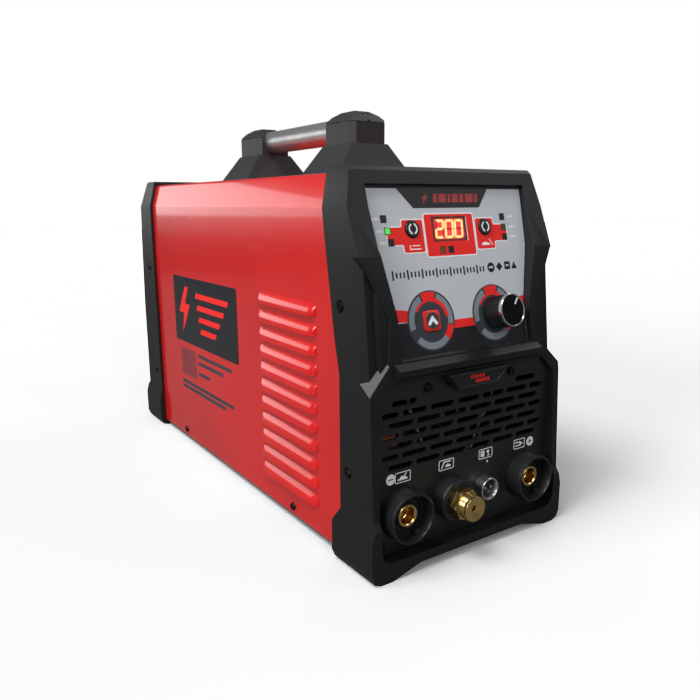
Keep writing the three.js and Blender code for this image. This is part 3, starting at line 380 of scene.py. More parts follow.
@dataclass(frozen=True)
class Film:
    """Printed polycarbonate film with a fine satin tooth."""

    name: str
    colour: Colour
    roughness: float = 0.42
    fleck: float = 0.06

    def make(self) -> bpy.types.Material:
        """Build the material."""
        s = Shader(self.name)
        tooth = s.noise(2200.0, 2.0, 0.6)
        cloud = s.noise(22.0, 3.0, 0.5)
        pale = tuple(min(1.0, c * (1 + self.fleck * 2) + self.fleck * 0.05) for c in self.colour)
        s.set(Base_Color=s.mix(self.colour, pale, (tooth * 0.6 + cloud * 0.4).clamp()),
              Roughness=(self.roughness + (tooth - 0.5) * 0.1 + (cloud - 0.5) * 0.08),
              Specular_IOR_Level=0.32, Normal=s.relief(tooth, 0.012, 0.4))
        return s.material


@dataclass(frozen=True)
class Metal:
    """Bare or plated metal."""

    name: str
    colour: Colour
    roughness: float
    lay: Lay = Lay.PLATED
    centre: tuple[float, float] = (0.0, 0.0)
    pitch: float = 0.35

    def make(self) -> bpy.types.Material:
        """Build the material."""
        s = Shader(self.name)
        tarnish = s.noise(70.0, 4.0, 0.6)
        fine = s.noise(1800.0, 2.0, 0.6)
        depth = 0.01
        mark = fine
        if self.lay is Lay.TURNED:
            across = s.axis(0) - self.centre[0] * MM
            up = s.axis(2) - self.centre[1] * MM
            radius = (across * across + up * up).sqrt()
            along = s.axis(1)
            mark = ((radius + along * 0.7) * (2 * math.pi / (self.pitch * MM))).sine() * 0.5 + 0.5
            mark = mark * 0.5 + fine * 0.5
            depth = 0.016
        elif self.lay is Lay.BRUSHED:
            mark = s.noise(900.0, 3.0, 0.7, s.stretched((1.0, 0.03, 1.0)))
            depth = 0.012
        elif self.lay is Lay.CAST:
            mark = s.noise(700.0, 4.0, 0.7)
            depth = 0.06
        dull = tuple(c * 0.72 for c in self.colour)
        s.set(Base_Color=s.mix(self.colour, dull, (tarnish.ramp(0.35, 0.75) * 0.7 + mark * 0.15).clamp()),
              Metallic=1.0,
              Roughness=(self.roughness + (tarnish - 0.5) * 0.2 + (mark - 0.5) * 0.1),
              Normal=s.relief(mark, depth, 0.5))
        return s.material


@dataclass(frozen=True)
class Glow:
    """A lit segment or lamp, or a plate with painted glow of the display's light."""

    name: str
    colour: Colour
    strength: float
    body: Colour = (0.02, 0.01, 0.01)

    def make(self) -> bpy.types.Material:
        """Build the material."""
        s = Shader(self.name)
        core = s.noise(300.0, 2.0, 0.5)
        pale = tuple(min(1.0, c * 1.15 + 0.04) for c in self.colour)
        s.set(Base_Color=self.body, Roughness=0.3, Emission_Strength=self.strength,
              Emission_Color=s.mix(self.colour, pale, core.ramp(0.3, 0.7)))
        return s.material


@dataclass(frozen=True)
class Acrylic:
    """Smoked see-through window."""

    name: str
    colour: Colour
    alpha: float

    def make(self) -> bpy.types.Material:
        """Build the material."""
        s = Shader(self.name)
        haze = s.noise(120.0, 3.0, 0.5)
        s.set(Base_Color=self.colour, Roughness=(0.2 + haze * 0.1), Alpha=(self.alpha + (haze - 0.5) * 0.05),
              Specular_IOR_Level=0.25, Normal=s.relief(haze, 0.004, 0.1))
        return s.material


@dataclass(frozen=True)
class CircuitBoard:
    """Solder mask over copper tracks."""

    name: str
    mask: Colour = (0.008, 0.075, 0.03)

    def make(self) -> bpy.types.Material:
        """Build the material."""
        s = Shader(self.name)
        x, y, z = s.axis(0), s.axis(1), s.axis(2)
        rows = ((y + z * 0.7) * 1250.0).sine().ramp(0.5, 0.75)
        gate = s.noise(60.0, 1.0, 0.4).ramp(0.5, 0.53)
        columns = (x * 1250.0).sine().ramp(0.5, 0.75)
        other = (1 - gate)
        tracks = (rows * gate + columns * other).clamp()
        pads = 1 - s.cells(260.0).ramp(0.12, 0.16)
        green = s.mix(self.mask, (0.03, 0.16, 0.06), tracks)
        s.set(Base_Color=s.mix(green, (0.62, 0.6, 0.55), pads),
              Roughness=(0.32 + pads * 0.12), Metallic=(pads * 0.8),
              Normal=s.relief(tracks + pads, 0.05, 0.6))
        return s.material


@dataclass(frozen=True)
class Winding:
    """Enamelled copper wire wound side by side."""

    name: str
    colour: Colour = (0.5, 0.16, 0.05)

    def make(self) -> bpy.types.Material:
        """Build the material."""
        s = Shader(self.name)
        turns = (s.axis(2) * (2 * math.pi / (1.4 * MM))).sine() * 0.5 + 0.5
        shade = s.noise(140.0, 3.0, 0.5)
        s.set(Base_Color=s.mix(self.colour, (0.2, 0.05, 0.02), (turns * 0.5 + shade * 0.3).clamp()),
              Metallic=0.75, Roughness=(0.3 + shade * 0.15), Normal=s.relief(turns, 0.5, 0.8))
        return s.material


@dataclass(frozen=True)
class Floor:
    """Pale seamless studio floor."""

    name: str = "studio_floor"

    def make(self) -> bpy.types.Material:
        """Build the material."""
        s = Shader(self.name)
        cloud = s.noise(3.0, 2.0, 0.5)
        s.set(Base_Color=s.mix((0.13, 0.13, 0.132), (0.15, 0.15, 0.15), cloud), Roughness=0.6,
              Specular_IOR_Level=0.1)
        return s.material


BLACK = Moulding("spark_textured_black")
SATIN_BLACK = Moulding("satin_black", (0.011, 0.0112, 0.0125), 0.36, 2400.0, 0.02, 0.08)
HANDLE_BLACK = Moulding("handle_black", (0.018, 0.0185, 0.02), 0.5, 1300.0, 0.06, 0.16)
RED = Enamel("red_enamel")
ZINC = Metal("dull_zinc", (0.42, 0.43, 0.45), 0.42, Lay.BRUSHED)
GREY_FILM = Film("silver_grey_film", (0.5, 0.52, 0.555))
BLACK_FILM = Film("black_film", (0.012, 0.012, 0.014), 0.34)
RED_INK = Film("red_ink", (0.8, 0.016, 0.012), 0.45)
WHITE_INK = Film("white_ink", (0.82, 0.82, 0.83), 0.45)
DARK_INK = Film("dark_blue_grey_ink", (0.035, 0.042, 0.052), 0.42)
PALE_INK = Film("pale_grey_ink", (0.2, 0.22, 0.255), 0.42)
STICKER = Film("sticker_black", (0.014, 0.015, 0.018), 0.2, 0.03)
SMOKED = Acrylic("smoked_red_acrylic", (0.05, 0.004, 0.003), 0.16)
# painted glow: the display's halo, glow plate, field and unlit segments emit light though only the lit bars
# are lamps
DIGIT = Glow("lit_digit", (1.0, 0.66, 0.22), 1.8)
DIGIT_HALO = Glow("digit_halo", (1.0, 0.2, 0.1), 1.5)
DISPLAY_GLOW = Glow("display_glow", (0.85, 0.02, 0.02), 1.6)
DISPLAY_FIELD_PAINTED_GLOW = Glow("display_field", (0.5, 0.03, 0.03), 0.35)
UNLIT_DIGIT_PAINTED_GLOW = Glow("unlit_digit_painted_glow", (0.6, 0.015, 0.015), 0.9)
GREEN_ON = Glow("lamp_green_lit", (0.08, 0.75, 0.08), 0.8)
GREEN_DIM = Glow("lamp_green_dim", (0.1, 0.4, 0.05), 0.1)
AMBER_DIM = Glow("lamp_amber_dim", (0.6, 0.4, 0.05), 0.1)
LAMP_OFF = Film("lamp_off", (0.012, 0.014, 0.014), 0.3)
KNOB_BLACK = Moulding("knob_black", (0.01, 0.01, 0.011), 0.26, 1800.0, 0.015, 0.05)
BUTTON_RED = Moulding("button_red", (0.6, 0.02, 0.016), 0.32, 1800.0, 0.015, 0.05)
CHROME = Metal("bright_chrome", (0.82, 0.83, 0.85), 0.2, Lay.PLATED)
SPUN_BLACK = Metal("spun_black", (0.03, 0.03, 0.032), 0.28, Lay.TURNED, (27.0, 160.6), 0.5)
NICKEL = Metal("satin_nickel", (0.66, 0.65, 0.62), 0.32, Lay.TURNED, (15.0, 39.3))
BLACK_ZINC = Metal("black_zinc", (0.05, 0.05, 0.053), 0.3, Lay.PLATED)
TUBE = Metal("white_anodised_tube", (0.6, 0.59, 0.59), 0.4, Lay.BRUSHED)
SINK = Metal("extruded_aluminium", (0.55, 0.56, 0.57), 0.38, Lay.BRUSHED)
COPPER = Metal("bare_copper", (0.78, 0.33, 0.17), 0.26, Lay.BRUSHED)
FERRITE = Moulding("ferrite", (0.03, 0.028, 0.026), 0.7, 900.0, 0.08, 0.05)
SLEEVE = Film("blue_sleeve", (0.01, 0.025, 0.12), 0.3)
BOARD = CircuitBoard("circuit_board")
COIL = Winding("copper_winding")


def brass(name: str, x: float, z: float, roughness: float = 0.22) -> Metal:
    """Turned brass whose marks run round an axis at (x, z)."""
    return Metal(name, (0.83, 0.58, 0.22), roughness, Lay.TURNED, (x, z))


# ---------- Geometry Nodes ----------
class Pattern(Enum):
    """How a tree sets out the shape it repeats."""

    ROW = "row"
    RING = "ring"
    SPOTS = "spots"
    HOLES = "holes"


_trees: dict[Pattern, bpy.types.NodeTree] = {}


def repeat_tree(pattern: Pattern) -> bpy.types.NodeTree:
    """Build the Geometry Nodes tree of a pattern, once.

    Args:
        pattern: a row, a ring, spots at the host's points, or holes in the host.

    Returns:
        The node tree, with named inputs for its sizes.
    """
    if pattern in _trees:
        return _trees[pattern]
    tree = bpy.data.node_groups.new(f"repeat_{pattern.value}", "GeometryNodeTree")
    face = tree.interface
    face.new_socket("Geometry", in_out="INPUT", socket_type="NodeSocketGeometry")
    for name, kind in (("Shape", "NodeSocketObject"), ("Spots", "NodeSocketObject"),
                       ("Count", "NodeSocketInt"),
                       ("Start", "NodeSocketVector"), ("Step", "NodeSocketVector"),
                       ("Radius", "NodeSocketFloat"), ("Finish", "NodeSocketMaterial")):
        face.new_socket(name, in_out="INPUT", socket_type=kind)
    face.new_socket("Geometry", in_out="OUTPUT", socket_type="NodeSocketGeometry")
    add, link = tree.nodes.new, tree.links.new
    source, result = add("NodeGroupInput"), add("NodeGroupOutput")
    shape = add("GeometryNodeObjectInfo")
    link(source.outputs["Shape"], shape.inputs["Object"])
    put = add("GeometryNodeInstanceOnPoints")
    link(shape.outputs["Geometry"], put.inputs["Instance"])
    if pattern is Pattern.ROW:
        line = add("GeometryNodeMeshLine")
        link(source.outputs["Count"], line.inputs["Count"])
        link(source.outputs["Start"], line.inputs["Start Location"])
        link(source.outputs["Step"], line.inputs["Offset"])
        points = line.outputs["Mesh"]
    elif pattern is Pattern.RING:
        ring = add("GeometryNodeMeshCircle")
        link(source.outputs["Count"], ring.inputs["Vertices"])
        link(source.outputs["Radius"], ring.inputs["Radius"])
        index = add("GeometryNodeInputIndex")
        share = add("ShaderNodeMath")
        share.operation = "DIVIDE"
        link(index.outputs[0], share.inputs[0])
        link(source.outputs["Count"], share.inputs[1])
        angle = add("ShaderNodeMath")
        angle.operation = "MULTIPLY"
        angle.inputs[1].default_value = 2 * math.pi
        link(share.outputs[0], angle.inputs[0])
        turn = add("ShaderNodeCombineXYZ")
        link(angle.outputs[0], turn.inputs["Z"])
        link(turn.outputs[0], put.inputs["Rotation"])
        points = ring.outputs["Mesh"]
    elif pattern is Pattern.SPOTS:
        points = source.outputs["Geometry"]
    else:
        spots = add("GeometryNodeObjectInfo")
        link(source.outputs["Spots"], spots.inputs["Object"])
        points = spots.outputs["Geometry"]
    link(points, put.inputs["Points"])
    real = add("GeometryNodeRealizeInstances")
    link(put.outputs["Instances"], real.inputs[0])
    body = real.outputs[0]
    if pattern is Pattern.HOLES:
        cut = add("GeometryNodeMeshBoolean")
        cut.operation = "DIFFERENCE"
        link(source.outputs["Geometry"], cut.inputs["Mesh 1"])
        link(body, cut.inputs["Mesh 2"])
        body = cut.outputs["Mesh"]
    finish = add("GeometryNodeSetMaterial")
    link(body, finish.inputs["Geometry"])
    link(source.outputs["Finish"], finish.inputs["Material"])
    link(finish.outputs[0], result.inputs[0])
    _trees[pattern] = tree
    return tree


def spots_mesh(points: Iterable[Sequence[float]]) -> bpy.types.Mesh:
    """A mesh of loose points."""
    mesh = bpy.data.meshes.new("spots")
    mesh.from_pydata([tuple(p) for p in points], [], [])
    return mesh


def grown(pattern: Pattern, host: bpy.types.Mesh | None, shape: "Form", **inputs: Any) -> bpy.types.Mesh:
    """Run a pattern's tree and return a plain mesh in the shape's millimetres.

    Args:
        pattern: which tree.
        host: the mesh the tree starts from, if it uses one.
        shape: the shape that is repeated or cut away.
        **inputs: the tree's other named inputs; Spots may be a list of points.

    Returns:
        The finished mesh.
    """
    scene = bpy.context.scene.collection
    template = bpy.data.objects.new("grow_shape", shape.mesh())
    helper = bpy.data.objects.new("grow_spots", spots_mesh(inputs.pop("Spots", [(0, 0, 0)])))
    base = bpy.data.objects.new("grow_host", host or bpy.data.meshes.new("grow_empty"))
    for item in (template, helper, base):
        scene.objects.link(item)
    tree = repeat_tree(pattern)
    ids = {i.name: i.identifier for i in tree.interface.items_tree if i.in_out == "INPUT"}
    modifier = base.modifiers.new("repeat", "NODES")
    modifier.node_group = tree
    for name, value in {"Shape": template, "Spots": helper, **inputs}.items():
        modifier[ids[name]] = value
    bpy.context.view_layer.update()
    graph = bpy.context.evaluated_depsgraph_get()
    mesh = bpy.data.meshes.new_from_object(base.evaluated_get(graph), depsgraph=graph)
    base.modifiers.clear()
    for item in (template, helper, base):
        bpy.data.objects.remove(item)
    return mesh


# ---------- Mesh building ----------
class Form:
    """Closed shapes gathered in a plane's own millimetres, then made one piece."""

    def __init__(self, place: Matrix) -> None:
        """Start an empty form on a working plane."""
        self.place = place
        self.bm = bmesh.new()

    def add_faces(self, points: Sequence[Sequence[float]], faces: Iterable[Sequence[int]]) -> None:
        """Add points and faces, and turn the new faces outwards."""
        verts = [self.bm.verts.new(p) for p in points]
        made = [self.bm.faces.new([verts[i] for i in f]) for f in faces]
        bmesh.ops.recalc_face_normals(self.bm, faces=made)

    def plate(self, outline: Outline, low: float, high: float, holes: Sequence[Outline] = ()) -> "Form":
        """Add a flat plate between two heights above the plane.

        Args:
            outline: its edge.
            low: lower height.
            high: upper height.
            holes: outlines of holes through it.

        Returns:
            This form.
        """
        loops = [list(outline), *[list(h) for h in holes]]
        flat = [p for loop in loops for p in loop]
        count = len(flat)
        if holes:
            caps = tessellate_polygon([[Vector((u, v, 0)) for u, v in loop] for loop in loops])
        else:
            caps = [tuple(range(count))]
        faces = [tuple(reversed(c)) for c in caps] + [tuple(i + count for i in c) for c in caps]
        start = 0
        for loop in loops:
            size = len(loop)
            for i in range(size):
                a, b = start + i, start + (i + 1) % size
                faces.append((a, b, b + count, a + count))
            start += size
        self.add_faces([(u, v, low) for u, v in flat] + [(u, v, high) for u, v in flat], faces)
        return self

    def stack(self, layers: Sequence[tuple[Outline, float]]) -> "Form":
        """Add a closed body through outlines of equal length at rising heights."""
        size = len(layers[0][0])
        points = [(u, v, w) for outline, w in layers for u, v in outline]
        faces: list[tuple[int, ...]] = [tuple(range(size))]
        for level in range(len(layers) - 1):
            for i in range(size):
                a, b = level * size + i, level * size + (i + 1) % size
                faces.append((a, b, b + size, a + size))
        faces.append(tuple(range((len(layers) - 1) * size, len(layers) * size)))
        self.add_faces(points, faces)
        return self

    def lathe(self, profile: Sequence[Point], centre: Point = (0.0, 0.0), steps: int = 48) -> "Form":
        """Add a turned body.

        Args:
            profile: (radius, height) points; it closes on the axis or on itself.
            centre: where its axis stands on the plane.
            steps: sides of the turning.

        Returns:
            This form.
        """
        closed = profile[0][0] > HAIR or profile[-1][0] > HAIR
        points: list[tuple[float, float, float]] = []
        rings: list[list[int]] = []
        for radius, height in profile:
            if radius <= HAIR:
                rings.append([len(points)] * steps)
                points.append((centre[0], centre[1], height))
                continue
            rings.append(list(range(len(points), len(points) + steps)))
            points += [(u, v, height) for u, v in circle(*centre, radius, steps)]
        pairs = list(zip(rings, rings[1:]))
        if closed:
            pairs.append((rings[-1], rings[0]))
        faces = []
        for low, high in pairs:
            for i in range(steps):
                j = (i + 1) % steps
                face = []
                for index in (low[i], low[j], high[j], high[i]):
                    if index not in face:
                        face.append(index)
                if len(face) > 2:
                    faces.append(tuple(face))
        self.add_faces(points, faces)
        return self

    def rod(self, radius: float, low: float, high: float, centre: Point = (0.0, 0.0), steps: int = 32,
            edge: float = 0.0) -> "Form":
        """Add a round rod, with its outer edge broken by edge."""
        profile = [(0.0, low), (radius, low), (radius, high - edge), (radius - edge, high), (0.0, high)]
        if not edge:
            profile.pop(2)
        return self.lathe(profile, centre, steps)

    def pipe(self, path: Sequence[Sequence[float]], radius: float, sides: int = 12,
             closed: bool = False) -> "Form":
        """Add a round wire along a path of local points."""
        line = [Vector(p) for p in path]
        count = len(line)
        points: list[Vector] = []
        normal = Vector((0.31, 0.17, 0.93))
        for i, spot in enumerate(line):
            if closed:
                tangent = line[(i + 1) % count] - line[i - 1]
            else:
                tangent = line[min(i + 1, count - 1)] - line[max(i - 1, 0)]
            tangent.normalize()
            normal = (normal - tangent * normal.dot(tangent)).normalized()
            side = tangent.cross(normal)
            for k in range(sides):
                angle = 2 * math.pi * k / sides
                points.append(spot + normal * (radius * math.cos(angle)) + side * (radius * math.sin(angle)))
        faces: list[tuple[int, ...]] = []
        for i in range(count if closed else count - 1):
            j = (i + 1) % count
            for k in range(sides):
                m = (k + 1) % sides
                faces.append((i * sides + k, i * sides + m, j * sides + m, j * sides + k))
        if not closed:
            faces.append(tuple(range(sides)))
            faces.append(tuple(range((count - 1) * sides, count * sides)))
        self.add_faces(points, faces)
        return self

    def cad(self, node: str) -> "Form":
        """Add a copy of a CAD node, with its loose triangles merged."""
        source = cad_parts[node].data
        self.bm.from_mesh(source)
        bmesh.ops.transform(self.bm, matrix=self.place.inverted(), verts=self.bm.verts)
        bmesh.ops.remove_doubles(self.bm, verts=self.bm.verts, dist=0.005)
        bmesh.ops.dissolve_limit(self.bm, angle_limit=math.radians(1.0), verts=self.bm.verts,
                                 edges=self.bm.edges)
        return self

    def absorb(self, mesh: bpy.types.Mesh) -> "Form":
        """Add a mesh that is already in this plane's millimetres."""
        self.bm.from_mesh(mesh)
        bpy.data.meshes.remove(mesh)
        return self

    def shift(self, change: Callable[[Vector], Vector]) -> "Form":
        """Move every point by a rule."""
        for vert in self.bm.verts:
            vert.co = change(vert.co)
        return self

    def mesh(self) -> bpy.types.Mesh:
        """The form as a mesh still in its own millimetres."""
        mesh = bpy.data.meshes.new("form")
        self.bm.to_mesh(mesh)
        self.bm.free()
        return mesh

    def piece(self, name: str, finish: Any, slot: str, body: str = HOUSING, replaces: Sequence[str] = (),
              bevel: float = 0.0, segments: int = 2, angle: float = 32.0) -> bpy.types.Object:
        """Make the finished piece.

        Args:
            name: the piece's name.
            finish: its finish.
            slot: not used.
            body: the CAD body it rides on.
            replaces: CAD nodes it stands for.
            bevel: width of its broken edges, in millimetres.
            segments: facets across a broken edge.
            angle: edges sharper than this are broken and stay sharp in shading.

        Returns:
            The object.
        """
        mesh = bpy.data.meshes.new(name)
        self.bm.to_mesh(mesh)
        self.bm.free()
        mesh.transform(self.place)
        mesh.materials.clear()
        mesh.materials.append(dressed(finish))
        for polygon in mesh.polygons:
            polygon.material_index = 0
            polygon.use_smooth = True
        mesh.set_sharp_from_angle(angle=math.radians(angle))
        piece = bpy.data.objects.new(name, mesh)
        bpy.context.scene.collection.objects.link(piece)
        if bevel:
            edge = piece.modifiers.new("edges", "BEVEL")
            edge.width = bevel * MM
            edge.segments = segments
            edge.limit_method = "ANGLE"
            edge.angle_limit = math.radians(angle)
            edge.miter_outer = "MITER_ARC"
            even = piece.modifiers.new("shading", "WEIGHTED_NORMAL")
            even.keep_sharp = False
            even.weight = 80
            for item in mesh.edges:
                item.use_edge_sharp = False
        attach(piece, body)
        if replaces:
            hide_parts(*replaces)
        LOG.info("%s: %d faces on %s", name, len(mesh.polygons), body)
        return piece

    def stand_in(self, node: str, finish: Any, slot: str, **options: Any) -> bpy.types.Object:
        """Make the piece that stands for the CAD node of the same name."""
        return self.piece(node, finish, slot, replaces=[node], **options)


def from_cad(node: str, place: Matrix, finish: Any, slot: str, **options: Any) -> bpy.types.Object:
    """Make a piece from a copy of the CAD node that it replaces.

    Args:
        node: the node's name, which the piece keeps.
        place: the working plane.
        finish: the piece's finish.
        slot: not used.
        **options: the body and the edge values that Form.piece takes.

    Returns:
        The object.
    """
    return Form(place).cad(node).stand_in(node, finish, slot, **options)


def dress_node(node: str, finish: Any) -> None:
    """Give a CAD node that stays in view its finish."""
    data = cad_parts[node].data
    if not data.materials:
        data.materials.append(dressed(finish))
    for index in range(len(data.materials)):
        data.materials[index] = dressed(finish)


# ---------- Shared small shapes ----------
def bent(path: Outline, radius: float, steps: int = 5) -> Outline:
    """The open path with each corner bent to a radius."""
    result = [path[0]]
    for before, corner, after in zip(path, path[1:], path[2:]):
        here = Vector(corner)
        back, on = (Vector(before) - here).normalized(), (Vector(after) - here).normalized()
        half = back.angle(on) / 2
        centre = here + (back + on).normalized() * (radius / math.sin(half))
        first = here + back * (radius / math.tan(half)) - centre
        last = here + on * (radius / math.tan(half)) - centre
        turn = math.atan2(first.x * last.y - first.y * last.x, first.dot(last))
        for i in range(steps + 1):
            a = turn * i / steps
            result.append((centre.x + first.x * math.cos(a) - first.y * math.sin(a),
                           centre.y + first.x * math.sin(a) + first.y * math.cos(a)))
    return result + [path[-1]]


def thick(path: Outline, depth: float) -> Outline:
    """Outline of a sheet whose outer side is the path, with its left side filled."""
    inner = []
    for i, spot in enumerate(path):
        ahead = Vector(path[min(i + 1, len(path) - 1)]) - Vector(path[max(i - 1, 0)])
        ahead.normalize()
        inner.append((spot[0] - ahead.y * depth, spot[1] + ahead.x * depth))
    return list(path) + inner[::-1]


def cross_screw(head: float = 3.2, proud: float = 1.7, shank: float = 1.5, length: float = 4.0) -> Form:
    """A pan-head screw with a cross recess, standing on its seat."""
    form = Form(Matrix.Identity(4))
    sides = 16
    rim = moved(circle(0, 0, head, sides), 0, 0, 180 / sides)
    arm, half = head * 0.62, head * 0.15
    cross = []
    for quarter in range(4):
        cross += moved([(arm, -half), (arm, half), (half, half)], 0, 0, 90 * quarter)
    brow = [(u * 0.93, v * 0.93) for u, v in rim]
    form.stack([(rim, 0.0), (rim, proud * 0.45), (brow, proud * 0.7)])
    top = [(u * 0.8, v * 0.8) for u, v in rim]
    form.plate(brow, proud * 0.7 - 0.05, proud * 0.72)
    form.plate(top, proud * 0.7, proud, [cross])
    form.rod(shank, -length, 0.1, steps=8)
    return form


def screw_set(name: str, place: Matrix, spots: Iterable[Sequence[float]], screw: Form,
              replaces: Sequence[str] = ()) -> None:
    """Set the same screw at every spot and make them one piece."""
    found = grown(Pattern.SPOTS, spots_mesh(spots), screw, Finish=dressed(BLACK_ZINC))
    Form(place).absorb(found).piece(name, BLACK_ZINC, "black_zinc", replaces=replaces, angle=45.0)


def arrow_head(u: float, v: float, turn: float, size: float) -> Outline:
    """A small triangle that points along turn degrees."""
    return moved([(size, 0.0), (-size * 0.6, size * 0.75), (-size * 0.6, -size * 0.75)], u, v, turn)


# ---------- Case: folded cover, louvres, base and their screws ----------
@dataclass(frozen=True)
class CaseSizes:
    """Sizes of the case, in millimetres."""

    half: float = 79.0
    top_half: float = 73.5
    shoulder: float = 226.0
    top: float = 246.6
    low: float = 6.0
    sheet: float = 1.2
    bend: float = 2.6
    front: float = 32.5
    knee: float = 180.0
    front_top: float = 44.0
    rear: float = 385.0
    plain: float = 80.0
    # thickness, gap and lowest edge of the black painted-shade sheet inside the cover
    shade_sheet: float = 0.3
    shade_sheet_gap: float = 0.15
    shade_sheet_foot: float = 18.0
    louvre_rows: int = 11
    louvre_first: float = 29.0
    louvre_pitch: float = 13.2
    louvre_middle: float = 109.0
    louvre_half: float = 41.0
    louvre_proud: float = 3.2
    louvre_rise: float = 4.2
    louvre_sheet: float = 0.9
    slot_half: float = 1.9
    slot_margin: float = 4.0
    sticker: tuple[float, float, float, float] = (189.0, 331.0, 101.0, 163.0)
    screw_seat: float = 81.2
    frame_screws: tuple[Point, ...] = ((35.0, 168.0), (28.0, 64.0), (391.0, 166.0), (391.0, 59.0))
    cover_screws: tuple[Point, ...] = ((104.0, 12.0), (316.5, 12.0))


